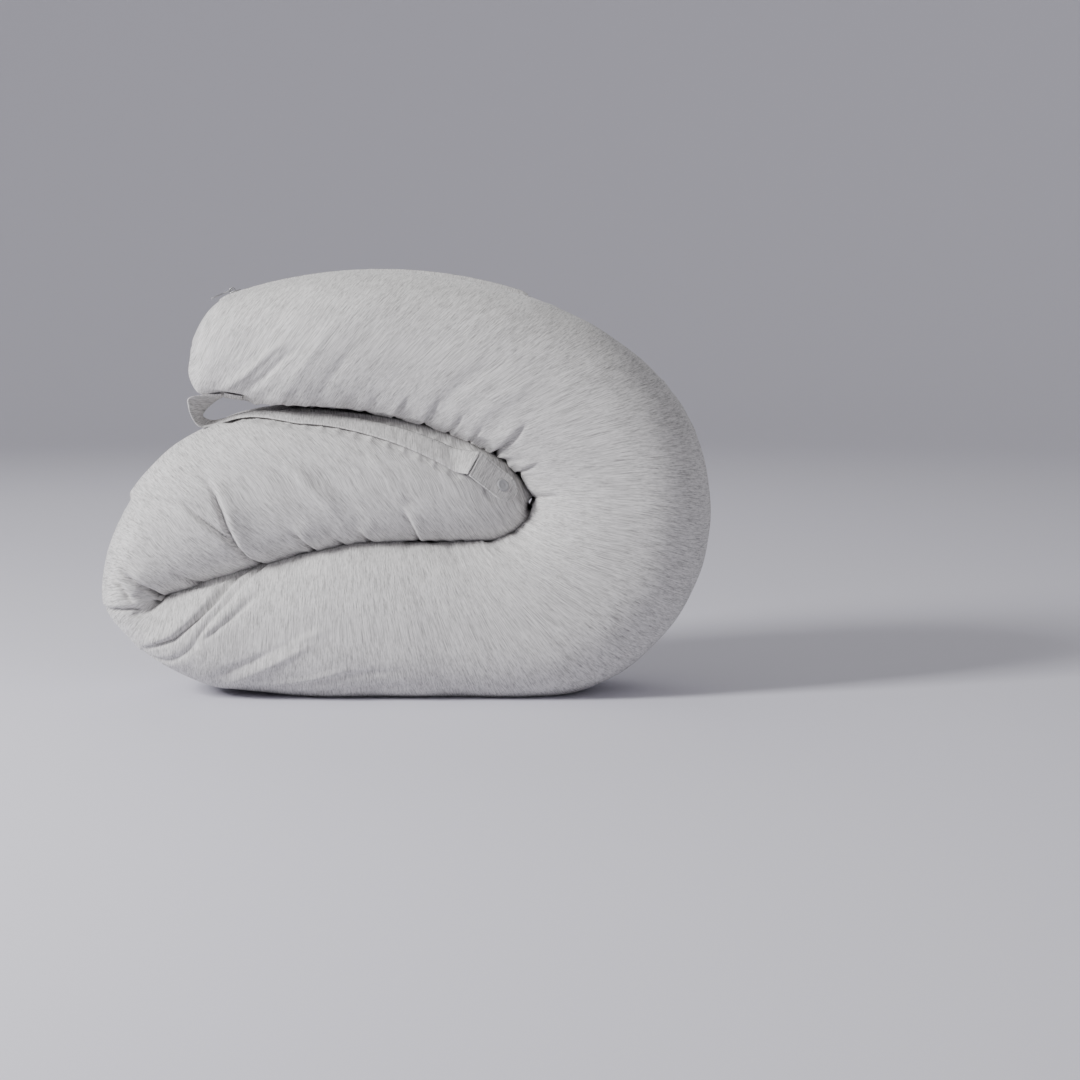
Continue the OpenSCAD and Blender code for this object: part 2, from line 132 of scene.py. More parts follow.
floor_paint.node_tree.nodes["Principled BSDF"].inputs["Roughness"].default_value = 0.9
floor_mesh.materials.append(floor_paint)

# ---- Cover ----------------------------------------------------------------------------------
# A long crescent of heather jersey, sewn from a front and a back panel and stuffed full. It is
# folded into a spiral: the top arm, a wide bend at the right, the base arm on the table, a tight
# wrinkled fold at the left, and the tail between the two arms. Millimetres, from the tip on.

MM = 0.001
joints = {j["name"]: j for j in frame["joints"]}
right, _, hinge_h = (v / MM for v in joints["top_arm_lift"]["pos_m"])
left = -right
half_d = cad_box[1][1] / MM
fold_h = 422             # height of the folded pillow
base_h = 156             # thickness of the base arm
slot_top = base_h + 133  # top of the slot that the tail lies in
inner_x = right - 180    # inside of the right-hand bend
crown_x = joints["zip_travel"]["pos_m"][0] / MM
crown_z = joints["zip_travel"]["pos_m"][2] / MM
crown_r = fold_h - crown_z
slot_x = left + 183
tip_x = left + 90
tip_h = 72
tip_z = slot_top + 22 + tip_h / 2
crease_x = left + 63
crease_z = 0.64 * base_h
fold_gap = 3
squareness = 2.6         # 2 is an ellipse, more is squarer
floor_sink = 5           # how far the base arm is pressed flat
nose_l = 55              # length of the slot's rounded end
foot_x = right - 175     # where the lower bend meets the table
shoulder_x = left + 269  # where the base arm starts to fall towards the left-hand fold


def crown_at(x):
    return crown_z + math.sqrt(crown_r ** 2 - (x - crown_x) ** 2)


def slot_roof(x):
    along = min(1, max(-1, (x - slot_x) / (inner_x - slot_x)))
    return hinge_h + (slot_top - hinge_h) * math.sqrt(1 - along ** 2)


def slot_floor(x):
    if x > inner_x - nose_l:
        return hinge_h - (hinge_h - base_h) * math.sqrt(1 - ((x - inner_x + nose_l) / nose_l) ** 2)
    fall = max(0, (shoulder_x - x) / (shoulder_x - crease_x))
    return base_h + (crease_z - base_h) * fall ** 1.25


def upper_bend(turn):
    up, out = math.cos(math.radians(turn)), math.sin(math.radians(turn))
    return (slot_x + (inner_x - slot_x) * out, hinge_h + (slot_top - hinge_h) * up,
            crown_x + (right - crown_x) * out, hinge_h + (fold_h - hinge_h) * up,
            half_d - 6 + 4 * turn / 90)


def lower_bend(turn):
    down, out = math.sin(math.radians(turn)), math.cos(math.radians(turn))
    inner = inner_x - turn / 90 * (nose_l + 30)
    return (inner, slot_floor(inner), foot_x + (right - foot_x) * out,
            hinge_h - (hinge_h + floor_sink) * down, half_d - 2 + 2 * down)


def base_rib(x, lean, lift, depth):
    return (x, slot_floor(x), x - lean, lift - floor_sink, depth)


def fold_rib(x, outer_x, outer_z, depth):
    return (x, slot_floor(x) + (fold_gap / 2 if outer_z > crease_z else 0), outer_x, outer_z, depth)


def tail_rib(x, outer_x, depth):
    return (x, slot_floor(x) + fold_gap / 2, outer_x, slot_roof(outer_x) - fold_gap, depth)


# Each rib is a line across the pillow: its inner end, its outer end, and half the pillow's depth.
top_ribs = [
    (tip_x - 3, tip_z - 0.30 * tip_h, tip_x + 4, tip_z + 0.33 * tip_h, 62),
    (tip_x + 12, slot_top + 15, tip_x + 33, crown_at(tip_x + 33), 78),
    (tip_x + 50, slot_top + 6, tip_x + 108, crown_at(tip_x + 108), 92),
]
bend_ribs = [upper_bend(t) for t in range(0, 91, 15)] + [lower_bend(t) for t in range(18, 91, 18)]
base_ribs = [base_rib(left + x, lean, lift, half_d - thin) for x, lean, lift, thin in
             [(305, -45, 0, 0), (262, -20, 0, 0), (220, 4, 0, 1), (172, 10, 5, 3), (122, 12, 12, 6)]]
fold_ribs = [fold_rib(crease_x + x, left + ox, oz, half_d - thin) for x, ox, oz, thin in
             [(24, 70, 24, 10), (6, 33, 51, 16), (0, 2, crease_z - 9, 20), (2, 4, crease_z + 38, 18),
              (10, 21, crease_z + 84, 14), (28, 47, crease_z + 122, 11)]]
tail_ribs = [
    fold_rib(left + 122, left + 82, crease_z + 154, half_d - 9),
    fold_rib(left + 162, left + 128, slot_top - 12, half_d - 8),
    tail_rib(left + 208, left + 183, half_d - 8),
    tail_rib(left + 258, left + 242, half_d - 9),
    tail_rib(left + 310, left + 302, half_d - 12),
    tail_rib(left + 358, left + 354, half_d - 18),
    tail_rib(inner_x - 35, inner_x - 36, half_d - 28),
    (inner_x - 9, hinge_h - 16, inner_x - 9, hinge_h + 17, half_d - 40),
    (inner_x - 4, hinge_h - 12, inner_x - 4, hinge_h + 13, half_d - 46),
]
ribs = np.array(top_ribs + bend_ribs + base_ribs + fold_ribs + tail_ribs)
s_joint = len(top_ribs) + 6
s_foot = s_joint + 5
s_fold = s_foot + len(base_ribs) + 3
s_end = len(ribs) - 1
top_cap, tail_cap = 1.2, 1.6     # the rounded ends' lengths, in ribs


def ease(x):
    x = np.clip(x, 0, 1)
    return x * x * (3 - 2 * x)


def smooth_between(rows, at):
    """Values at fractional places in the rows, on a smooth curve through them."""
    last = len(rows) - 1
    i = np.clip(np.floor(at).astype(int), 0, last - 1)
    u = (at - i).reshape(-1, *[1] * (rows.ndim - 1))
    p, q, r, t = (rows[np.clip(i + k, 0, last)] for k in (-1, 0, 1, 2))
    square, cube = 2 * p - 5 * q + 4 * r - t, 3 * q - p - 3 * r + t
    return 0.5 * (2 * q + (r - p) * u + square * u ** 2 + cube * u ** 3)


def rib_at(s):
    return smooth_between(ribs, s)


def run_along(line):
    """How far along a line of points each of them lies."""
    return np.concatenate([[0], np.cumsum(np.linalg.norm(np.diff(line, axis=0), axis=1))])


def skin(s, a, off=0.0):
    """Points of the skin: s along the ribs, a degrees round (0 is the outer edge, 90 the front)."""
    s, a = (np.array(v, float) for v in np.broadcast_arrays(np.atleast_1d(s), a))
    rib = rib_at(s)
    middle = (rib[:, 0:2] + rib[:, 2:4]) / 2
    half = (rib[:, 2:4] - rib[:, 0:2]) / 2
    reach = np.linalg.norm(half, axis=1)
    near = np.clip(np.minimum(s / top_cap, (s_end - s) / tail_cap), 0, 1)
    shut = np.sqrt(1 - (1 - near) ** 2)
    tall = np.maximum(0.3, reach * shut - off)
    deep = np.maximum(0.3, rib[:, 4] * shut - off)
    power = 2 / squareness
    up, front = np.cos(np.radians(a)), np.sin(np.radians(a))
    flat = middle + half / reach[:, None] * (tall * np.sign(up) * np.abs(up) ** power)[:, None]
    return np.stack([flat[:, 0], -deep * np.sign(front) * np.abs(front) ** power, flat[:, 1]], 1)


# The seams between the two panels lie on the inner and outer edges. They turn half round where the
# tube twists in the left-hand fold, so that the back panel comes to the front on the tail.
zip_y = 17
seam_ribs = [0, s_joint, *[s_foot + k for k in (2, 3.6, 4.4, 5.3, 6.2, 6.9, 7.6)], s_end]
seam_turns = [0, 0, -4, -8, -42, -88, -128, -156, -180, -180]


def seam_turn(s):
    depth = np.maximum(26, rib_at(np.atleast_1d(np.asarray(s, float)))[:, 4])
    to_zip = -np.degrees(np.arcsin((zip_y / depth) ** (squareness / 2)))
    return np.interp(s, seam_ribs, seam_turns) + to_zip * (1 - ease((s - s_joint) / 2.5))


def rib_middle(s):
    rib = rib_at(s)
    return np.stack([(rib[:, 0] + rib[:, 2]) / 2, 0 * s, (rib[:, 1] + rib[:, 3]) / 2], 1)


# Stations along the pillow and angles round it, spaced evenly over the cloth.
fine_s = np.linspace(0, s_end, 4000)
cloth_at = sum(run_along(skin(fine_s, a)) for a in (0, 45, 90)) / 3
along_at = run_along(skin(fine_s, 90) * [1, 0, 1])
girth = 560              # round the top arm


def stations(s0, s1, step):
    lo, hi = np.interp([s0, s1], fine_s, cloth_at)
    return np.interp(np.linspace(lo, hi, int((hi - lo) / step) + 2), cloth_at, fine_s)


def angles(count):
    """Angles that lie evenly round the top arm's thickest rib."""
    fine = np.linspace(0, 360, 2881)
    run = run_along(skin(np.full(len(fine), 6.0), fine))
    return np.interp(np.linspace(0, run[-1], count + 1)[:-1], run, fine)


def cut_tube(step):
    """The whole tube as a net, cut along both seams and at the left-hand fold. Gives each point's
    place along and its angle from the first seam, and the faces of each panel."""
    along = np.concatenate([stations(0, s_fold, step), stations(s_fold, s_end, step)[1:]])
    ring = angles(int(girth / step))
    ring = np.concatenate([ring - 360, ring, ring + 360])
    ring = ring[(ring > -200) & (ring < 372)]
    bm = bmesh.new()
    net = [[bm.verts.new((s, a - t, 0)) for a in ring] for s, t in zip(along, seam_turn(along))]
    for row, after in zip(net, net[1:]):
        for k in range(len(ring) - 1):
            bm.faces.new((row[k], row[k + 1], after[k + 1], after[k]))
    for seam in (0, 180, 360):
        bmesh.ops.bisect_plane(bm, geom=bm.verts[:] + bm.edges[:] + bm.faces[:], dist=1e-5,
                               plane_co=(0, seam, 0), plane_no=(0, 1, 0),
                               clear_inner=seam == 0, clear_outer=seam == 360)
    bm.verts.index_update()
    flat = np.array([v.co[:2] for v in bm.verts])
    faces = [[v.index for v in f.verts] for f in bm.faces]
    bm.free()
    # The net's two edges meet at the first seam.
    key = np.round(flat * (1e4, 1e3)).astype(np.int64) % (10 ** 9, 360000)
    _, first, same = np.unique(key, axis=0, return_index=True, return_inverse=True)
    same = same.reshape(-1)
    panels = {}
    for f in faces:
        s, a = flat[f].mean(0)
        arm, side = "main" if s < s_fold else "tail", "front" if a < 180 else "back"
        panels.setdefault((side, arm), []).append([int(same[i]) for i in f])
    return flat[first, 0], np.mod(flat[first, 1], 360), panels


def face_normals(points, faces):
    total = np.zeros_like(points)
    for size in (3, 4, 5, 6):
        f = np.array([f for f in faces if len(f) == size])
        if len(f):
            p = points[f]
            n = sum(np.cross(p[:, k] - p[:, 0], p[:, k + 1] - p[:, 0]) for k in range(1, size - 1))
            for k in range(size):
                np.add.at(total, f[:, k], n)
    return total / np.maximum(np.linalg.norm(total, axis=1), 1e-12)[:, None]


# Folds and puckers, as lines on the front face in millimetres: (arm, depth, width, lip, points). The
# lip is how far the cloth stands up on the left of the line, or where it is negative on the right.
folds = [
    ("left", 4.6, 1.7, -2.6, [(-254, 95), (-280, 92), (-308, 89.5)]),
    ("tail", 8.0, 2.4, -6.5, [(-127, 137), (-140, 139), (-156, 146), (-165, 156), (-172, 172), (-178, 190),
                              (-186, 212), (-199, 232)]),
    ("tail", 4.4, 1.8, 2.4, [(-166, 156), (-180, 169), (-204, 188), (-222, 204)]),
    ("tail", 5.4, 2.2, -3.4, [(-240, 106), (-260, 116), (-280, 132)]),
    ("tail", 5.0, 2.2, -3.2, [(-268, 101), (-280, 116), (-295, 134)]),
    ("tail", 4.0, 2.0, 2.2, [(-226, 101), (-243, 106), (-260, 113)]),
    ("tail", 3.4, 2.0, 2.0, [(-196, 118), (-214, 123), (-233, 132)]),
    ("tail", 5.0, 2.0, -3.6, [(-88, 150), (-95, 157), (-114, 173)]),
    ("tail", 4.6, 2.0, -3.2, [(-26, 157), (-35, 163), (-50, 175)]),
    ("tail", 3.6, 2.0, -2.8, [(14, 160), (9, 172), (-3, 194)]),
    ("tail", 2.4, 2.0, -1.4, [(-58, 154), (-66, 162), (-76, 168)]),
    ("tail", -2.0, 6.0, 0.0, [(2, 196), (-18, 226), (-42, 258)]),
    ("tail", -2.0, 6.0, 0.0, [(-62, 186), (-92, 214), (-120, 246)]),
    ("tail", 2.0, 6.0, 0.0, [(-40, 186), (-70, 216), (-96, 246)]),
    ("base", 5.0, 3.6, 0.0, [(-268, 87), (-255, 91), (-244, 97), (-228, 102)]),
    ("base", 2.8, 2.2, 1.6, [(-206, 106), (-184, 110), (-160, 121)]),
    ("base", 5.2, 1.9, 3.6, [(-258, 52), (-226, 64), (-197, 89), (-166, 116), (-134, 132)]),
    ("base", 2.8, 2.4, 1.4, [(-198, 62), (-176, 80), (-150, 102), (-128, 116)]),
    ("base", -3.0, 4.2, 0.0, [(-182, 15), (-146, 31), (-110, 50), (-74, 70)]),
    ("base", 2.6, 3.6, 0.0, [(-196, 22), (-150, 41), (-116, 59), (-82, 80)]),
    ("base", -1.8, 4.4, 0.0, [(-140, 46), (-108, 62), (-62, 80)]),
    ("base", 2.2, 3.4, 0.0, [(-176, 8), (-118, 13), (-60, 27), (20, 36)]),
    ("base", -2.0, 3.4, 0.0, [(-150, 14), (-96, 22), (-40, 38)]),
    ("base", 2.0, 2.8, 0.0, [(-110, 5), (-40, 13), (40, 18)]),
    ("top", -2.8, 3.6, 0.0, [(-178, 311), (-151, 325), (-126, 347), (-100, 362)]),
    ("top", 2.6, 3.6, 0.0, [(-156, 308), (-136, 320), (-114, 341), (-92, 354)]),
    ("top", -1.3, 5.0, 0.0, [(-118, 306), (-98, 330), (-78, 356), (-58, 384)]),
    ("top", 1.3, 5.0, 0.0, [(-82, 304), (-62, 330), (-38, 360)]),
    ("top", 2.8, 1.9, 2.2, [(-125, 290), (-118, 298), (-106, 310)]),
    ("top", 2.0, 1.9, 1.4, [(-100, 288), (-93, 294), (-82, 305)]),
    ("top", 2.1, 1.9, 1.4, [(-70, 286), (-62, 293), (-50, 305)]),
    ("top", 2.0, 1.9, 1.4, [(-44, 283), (-36, 291), (-24, 304)]),
    ("top", 2.5, 2.0, 1.8, [(-16, 276), (-6, 289), (8, 306)]),
    ("top", 2.8, 2.0, 2.0, [(12, 268), (23, 282), (38, 302)]),
    ("top", 2.5, 2.0, 1.6, [(36, 259), (47, 272), (62, 288)]),
    ("top", 3.4, 2.1, 2.2, [(56, 249), (66, 261), (80, 276)]),
    ("top", 3.0, 2.0, 1.8, [(66, 240), (77, 251), (92, 262)]),
    ("top", 4.5, 2.4, 3.4, [(76, 231), (90, 247), (108, 262), (124, 280)]),
    ("top", 2.5, 2.2, 1.6, [(100, 216), (116, 228), (138, 240)]),
    ("top", 2.5, 2.4, 1.6, [(114, 196), (136, 202), (158, 206)]),
    ("top", -1.6, 8.0, 0.0, [(66, 276), (96, 300), (134, 322)]),
    ("top", 1.6, 7.0, 0.0, [(30, 288), (62, 318), (104, 344)]),
]
arm_ribs = {"top": (0, s_joint + 1), "base": (s_joint + 1, s_fold), "tail": (s_fold, s_end),
            "left": (s_fold - 2.5, s_fold + 2.5)}


def press_folds(points, s, widen=1.0, mirrored=False):
    """How far each point moves out for the folds on the front, or for fainter ones on the back."""
    move = np.zeros(len(points))
    side = points[:, 1] > 8 if mirrored else points[:, 1] < -8
    for arm, depth, width, lip, line in folds:
        line = np.array(line, float) + ([7, -3] if mirrored else [0, 0])
        depth, lip = (0.7 * depth, 0.7 * lip) if mirrored else (depth, lip)
        width = widen * width
        reach = (16 if lip else 4) * width
        low, high = line.min(0) - reach, line.max(0) + reach
        flat = points[:, [0, 2]]
        close = np.where(side & (s >= arm_ribs[arm][0]) & (s <= arm_ribs[arm][1])
                         & (flat > low).all(1) & (flat < high).all(1))[0]
        best, before = np.full(len(close), 1e9), 0.0
        signed, run = np.zeros(len(close)), np.zeros(len(close))
        for a, b in zip(line, line[1:]):
            d = b - a
            length = np.linalg.norm(d)
            t = np.clip(((flat[close] - a) @ d) / length ** 2, 0, 1)
            gap = flat[close] - (a + t[:, None] * d)
            far = np.linalg.norm(gap, axis=1)
            nearer = far < best
            signed = np.where(nearer, np.sign(d[0] * gap[:, 1] - d[1] * gap[:, 0]) * far, signed)
            run = np.where(nearer, before + t * length, run)
            best = np.minimum(best, far)
            before += length
        fade = ease((run + 0.08 * before) / (0.25 * before)) * ease((1.02 * before - run) / (0.45 * before))
        beside = np.maximum(0, signed * math.copysign(1, lip)) / (2.6 * width)
        move[close] += fade * (abs(lip) * beside * np.exp(1 - beside)
                               - depth * np.exp(-(best / width) ** 2))
    return move


def rough(x, y, seed):
    """Smooth noise from -1 to 1 at pairs of coordinates."""
    return np.array([noise.noise((px, py, seed)) for px, py in zip(x.tolist(), y.tolist())])


# The cloth is cut at a slant to the arm, so its streaks lean, by these degrees at these ribs.
lean_ribs = [0, 2, 3, 5, 7, 9, 12, 19, 22, 25, 28, s_end]
lean_by = [22, 15, 5, 1, 7, 10, 0, 0, -16, -28, -38, -42]


def grain(s, a):
    """Millimetres along the arm and round it, with the streaks' lean over the front and back."""
    lean = np.interp(s, lean_ribs, lean_by)
    rib = rib_at(s)
    tall = np.linalg.norm(rib[:, 2:4] - rib[:, 0:2], axis=1) / 2
    outward = tall * np.cos(np.radians(a))
    along = np.interp(s, fine_s, along_at)
    return along - np.tan(np.radians(lean)) * outward, np.mod(a, 360) / 360 * 3.0 * (tall + rib[:, 4])


# The strap, the zip and the small pieces lie on the cover, which stays flat under them. Each row
# goes across the piece, from its back edge to its front edge.

strap_w = 31
pleated_w = 24           # where it is sewn on
strap_t = 1.6
strap_high = 0.4 + strap_t / 2
anchor_s, anchor_long, anchor_a = 1.62, 0.42, 166
tail_s0, tail_s1 = s_fold + 5.15, s_fold + 9
label_s = s_joint - 1.35
row_n = 14


def walk(s, a, far, way):
    """The angle reached by going far millimetres round the skin from angle a."""
    turn = a + way * np.arange(0, 120, 0.25)
    return float(np.interp(far, run_along(skin(np.full(len(turn), s), turn)), turn))


def row_on_skin(s, a, far, high, way):
    return skin(np.full(row_n + 1, s), np.linspace(a, walk(s, a, far, way), row_n + 1), -high)


def row_between(a, b):
    return np.linspace(np.array(a, float), np.array(b, float), row_n + 1)


def strap_front(s):
    return float(22 + 20 * ease((s - tail_s0) / 1.3) + 42 * max(0, (s - s_fold - 6.6) / 3) ** 1.3)


def tail_row(s):
    return row_on_skin(s, walk(s, strap_front(s), strap_w, -1), strap_w, strap_high, 1)


def middle(node):
    low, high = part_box(node)
    return (Vector(low) + Vector(high)) / 2 / MM


peel = joints["popper_peel"]
tab_out = (middle("popper_cap") - middle("popper_washer")).normalized()
tab_up = -Vector(peel["axis"]).normalized()
tab_dir = tab_up.cross(tab_out).normalized()
tab_root = Vector(peel["pos_m"]) / MM - strap_t * tab_out
tab_edge = tab_root - 1.2 * tab_dir + strap_t / 2 * tab_out
strap_turn = [
    ((3, -57, 11), (24, -31, 4)),
    ((1, -60, 0), (15, -32, -4)),
    ((6, -61, -13), (13, -32, -10)),
    ((13, -59, -20), (20, -31, -14)),
    ((25, -55, -19), (31, -26, -13)),
]
tip_corner = np.array([tip_x, 0, slot_top])
strap_rows = [row_on_skin(anchor_s - 0.06, anchor_a, pleated_w, strap_high, -1)]
strap_rows += [row_between(tip_corner + back, tip_corner + front) for front, back in strap_turn]
strap_rows += [tail_row(s) for s in np.linspace(tail_s0, tail_s1, 15)]
strap_rows += [row_between(tab_edge + strap_w / 2 * tab_up, tab_edge - strap_w / 2 * tab_up)]
anchor_rows = [row_on_skin(s, anchor_a, pleated_w, strap_high, -1)
               for s in np.linspace(anchor_s, anchor_s + anchor_long, 6)]
label_w, label_l, label_t = 34, 26, 0.5
label_a = float(seam_turn(label_s)[0]) - 3
label_far = label_l / np.linalg.norm(skin(label_s, label_a) - skin(label_s + 1, label_a))
label_rows = [row_on_skin(s, label_a, label_w, 0.4 + label_t / 2, -1)
              for s in np.linspace(label_s, label_s + label_far, 6)]
zip_r = crown_r + 0.6
zip_l = 300
zip_low = -19.0
zip_high = zip_low + math.degrees(zip_l / zip_r)
popper_x = 35


def on_arc(turn, r, y):
    return (crown_x + r * math.sin(math.radians(turn)), y, crown_z + r * math.cos(math.radians(turn)))


# Places that something lies on, each with how far round it the cover is held down.
lying_places = [(p, 2.5) for row in strap_rows[6:] + label_rows for p in row]
lying_places += [(p, 0) for row in anchor_rows for p in row]
lying_places += [(on_arc(t, crown_r, zip_y + y), 1.5)
                 for t in np.linspace(zip_low, zip_high, 90) for y in (-9, 0, 9)]
under_popper = tab_root + popper_x * tab_dir - 4 * tab_out
lying_places += [(under_popper + 9 * (math.cos(t) * tab_dir + math.sin(t) * tab_up), 6)
                 for t in np.radians(range(0, 360, 30))]
lying_places += [(tab_root + u * tab_dir + v * tab_up, 3)
                 for u in range(2, 50, 6) for v in range(-14, 15, 7)]
lying = KDTree(len(lying_places))
for i, (place, _) in enumerate(lying_places):
    lying.insert(place, i)
lying.balance()


def room_above(points):
    """How far the cover may stand out before it meets what lies on it."""
    room = []
    for p in points.tolist():
        _, i, far = lying.find(p)
        room.append(0.5 * max(0, far - 2.5 - lying_places[i][1]) - 0.9)
    return np.array(room)


# The cover is cut a little larger than the stuffing, most of all inside the bends. A cloth
# simulation under pressure takes up that spare cloth in wrinkles, which are added to the shape.

def settle_wrinkles(step):
    """Runs the cloth. Gives the wrinkles' heights on a net, with its stations and its angles."""
    last_frame = 24
    along, ring = stations(0.3, s_end - 0.3, step), angles(int(girth / step))
    m, n = len(along), len(ring)
    s, a = np.repeat(along, n), np.tile(ring, m)
    start = skin(s, a + seam_turn(s), 3)
    faces = [[j * n + k, j * n + (k + 1) % n, (j + 1) * n + (k + 1) % n, (j + 1) * n + k]
             for j in range(m - 1) for k in range(n)]
    normals = face_normals(start, faces)
    if ((start - rib_middle(s)) * normals).sum() < 0:
        normals, faces = -normals, [f[::-1] for f in faces]
    faces += [list(range(n)), [(m - 1) * n + k for k in reversed(range(n))]]
    # Spare cloth is a zigzag from row to row in the cloth's rest shape.
    bend = np.interp(s, [0, 3, 6, s_joint, s_foot, s_foot + 3, s_fold - 2, s_fold, s_fold + 4, s_end],
                     [0.02, 0.03, 0.07, 0.13, 0.10, 0.03, 0.10, 0.20, 0.07, 0.03])
    inside = ease((0.25 - np.cos(np.radians(a + seam_turn(s)))) / 0.9)
    spare = 0.022 + bend * inside
    apart = np.linalg.norm(np.diff(start.reshape(m, n, 3), axis=0), axis=2)
    apart = np.concatenate([apart, apart[-1:]]).reshape(-1)
    zigzag = 0.5 * apart * np.sqrt((1 + spare) ** 2 - 1) * np.where(np.arange(m * n) // n % 2, 1, -1)
    mesh = bpy.data.meshes.new("wrinkles")
    mesh.from_pydata((start * MM).tolist(), [], faces)
    net = bpy.data.objects.new("wrinkles", mesh)
    bpy.context.collection.objects.link(net)
    net.shape_key_add(name="Basis")
    rest = net.shape_key_add(name="rest")
    rest.data.foreach_set("co", ((start + normals * zigzag[:, None]) * MM).astype(np.float32).ravel())
    rest.value = 0
    hold = net.vertex_groups.new(name="hold")
    hold.add([i for i in range(m * n) if i < 2 * n or i >= (m - 2) * n], 1.0, "REPLACE")
    hold.add(list(range(2 * n, (m - 2) * n)), 0.42, "REPLACE")
    cloth = net.modifiers.new("cloth", "CLOTH")
    cloth.settings.rest_shape_key = rest
    cloth.settings.vertex_group_mass = "hold"
    cloth.settings.pin_stiffness = 1.0
    cloth.settings.use_pressure = True
    cloth.settings.uniform_pressure_force = 3.0
    cloth.settings.quality = 6
    cloth.settings.tension_stiffness = 18
    cloth.settings.compression_stiffness = 18
    cloth.settings.shear_stiffness = 6
    cloth.settings.bending_stiffness = 0.25
    cloth.settings.air_damping = 3
    cloth.settings.effector_weights.gravity = 0
    cloth.collision_settings.use_collision = False
    cloth.collision_settings.use_self_collision = False
    cloth.point_cache.frame_start, cloth.point_cache.frame_end = 1, last_frame
    for f in range(1, last_frame + 1):
        bpy.context.scene.frame_set(f)
    seen = net.evaluated_get(bpy.context.evaluated_depsgraph_get())
    ended = np.empty(m * n * 3, np.float32)
    seen.to_mesh().vertices.foreach_get("co", ended)
    seen.to_mesh_clear()
    bpy.context.scene.frame_set(1)
    bpy.data.objects.remove(net)
    out = ((ended.reshape(-1, 3) / MM - start) * normals).sum(1).reshape(m, n)
    # Only the wrinkles are kept, not the general swelling.
    broad = out.copy()
    for _ in range(24):
        padded = np.concatenate([broad[:1], broad, broad[-1:]])
        broad = (padded[:-2] + 2 * broad + padded[2:]) / 4
        broad = (np.roll(broad, 1, 1) + 2 * broad + np.roll(broad, -1, 1)) / 4
    return np.clip(out - broad, -7, 5), along, ring


def wrinkle_at(s, from_seam):
    """The settled wrinkles' height at places on the cloth."""
    heights, along, ring = settled
    j = np.interp(s, along, np.arange(len(along)))
    k = np.interp(np.mod(from_seam, 360), np.append(ring, 360), np.arange(len(ring) + 1))
    j0 = np.minimum(j.astype(int), len(along) - 2)
    k0 = np.minimum(k.astype(int), len(ring) - 1)
    u, v = j - j0, k - k0
    k1 = (k0 + 1) % len(ring)
    return ((1 - u) * ((1 - v) * heights[j0, k0] + v * heights[j0, k1])
            + u * ((1 - v) * heights[j0 + 1, k0] + v * heights[j0 + 1, k1]))


settled = settle_wrinkles(7.0)
seam_sink, seam_width = 2.6, 2.8
gather_ribs = [0, 1.5, 5, s_joint, s_foot, s_foot + 3, s_fold - 2, s_fold, s_fold + 3, s_end - 3, s_end]
gather_deep = [0.6, 1.6, 2.2, 3.4, 2.6, 1.2, 2.0, 3.0, 2.2, 1.6, 0.5]
lining_sink = 1.9        # how much further in a lining lies, for each millimetre of deeper
table_gap = 0.3          # the lowest cloth's height above the table


def shape_cloth(points, normals, s, from_seam, deeper=0.0):
    """Moves the skin's points for the sags, gathers, folds and seams of a stuffed cover. deeper is
    how far inside the cover a lining lies."""
    a = from_seam + seam_turn(s)
    along, around = grain(s, a)
    inner = np.exp(-((180 - np.abs(np.mod(a, 360) - 180) - 180) / 42) ** 2)
    ends = ease(np.minimum(s / 0.7, (s_end - s) / 0.7))
    sag = 2.0 * rough(along / 95, around / 110, 1.5) + 1.1 * rough(along / 34, around / 90, 4.5)
    gather = np.abs(rough(along / 15, around / 60, 8.5)) * 2 - 0.5
    gather_at = np.interp(s, gather_ribs, gather_deep)
    move = ends * (sag - gather_at * inner * gather)
    if settled:
        move += ends * wrinkle_at(s, from_seam)
    widen = 1 + 0.35 * deeper
    move += press_folds(points, s, widen) + press_folds(points, s, widen, mirrored=True)
    # The seam pulls in, with small puckers beside it.
    step = 0.02
    across = skin(s, a + 0.5) - skin(s, a - 0.5)
    slope = (seam_turn(s + step) - seam_turn(s - step)) / (2 * step)
    forward = (skin(np.minimum(s + step, s_end), a) - skin(np.maximum(s - step, 0), a)) / (2 * step)
    line = forward + across * slope[:, None]
    line /= np.maximum(np.linalg.norm(line, axis=1), 1e-9)[:, None]
    apart = across - line * (across * line).sum(1)[:, None]
    degrees = np.minimum(np.mod(from_seam, 180), 180 - np.mod(from_seam, 180))
    from_line = degrees * np.linalg.norm(apart, axis=1)
    pucker = rough(along / 5.0 + 40, around * 0 + 0.5, 2.5)
    move -= (seam_sink + 0.7 * pucker) * np.exp(-(from_line / (widen * seam_width)) ** 2)
    move += (0.7 + 0.7 * pucker) * np.exp(-((from_line - 8) / 6) ** 2)
    # Facing sides of the arms press on each other. They stay smooth there, and swell beside it.
    from_inner = 180 - np.abs(np.mod(a, 360) - 180)
    from_inner = np.where(s > s_fold + 2.5, np.minimum(from_inner, 180 - from_inner), 180 - from_inner)
    move += 6.0 * ends * ease((from_inner - 6) / 22) * ease((78 - from_inner) / 45)
    move = np.minimum(move, 0.8 + 7.5 * ease((from_inner - 8) / 24))
    move = np.minimum(move, room_above(points)) - deeper * lining_sink
    # Where the cloth lies on the table it stays flat.
    move *= ease((points[:, 2] + 2) / 9) * 0.999 + 0.001
    moved = points + normals * move[:, None]
    lowest = table_gap + lining_sink * deeper
    return np.stack([moved[:, 0], moved[:, 1], np.maximum(lowest, moved[:, 2])], 1)


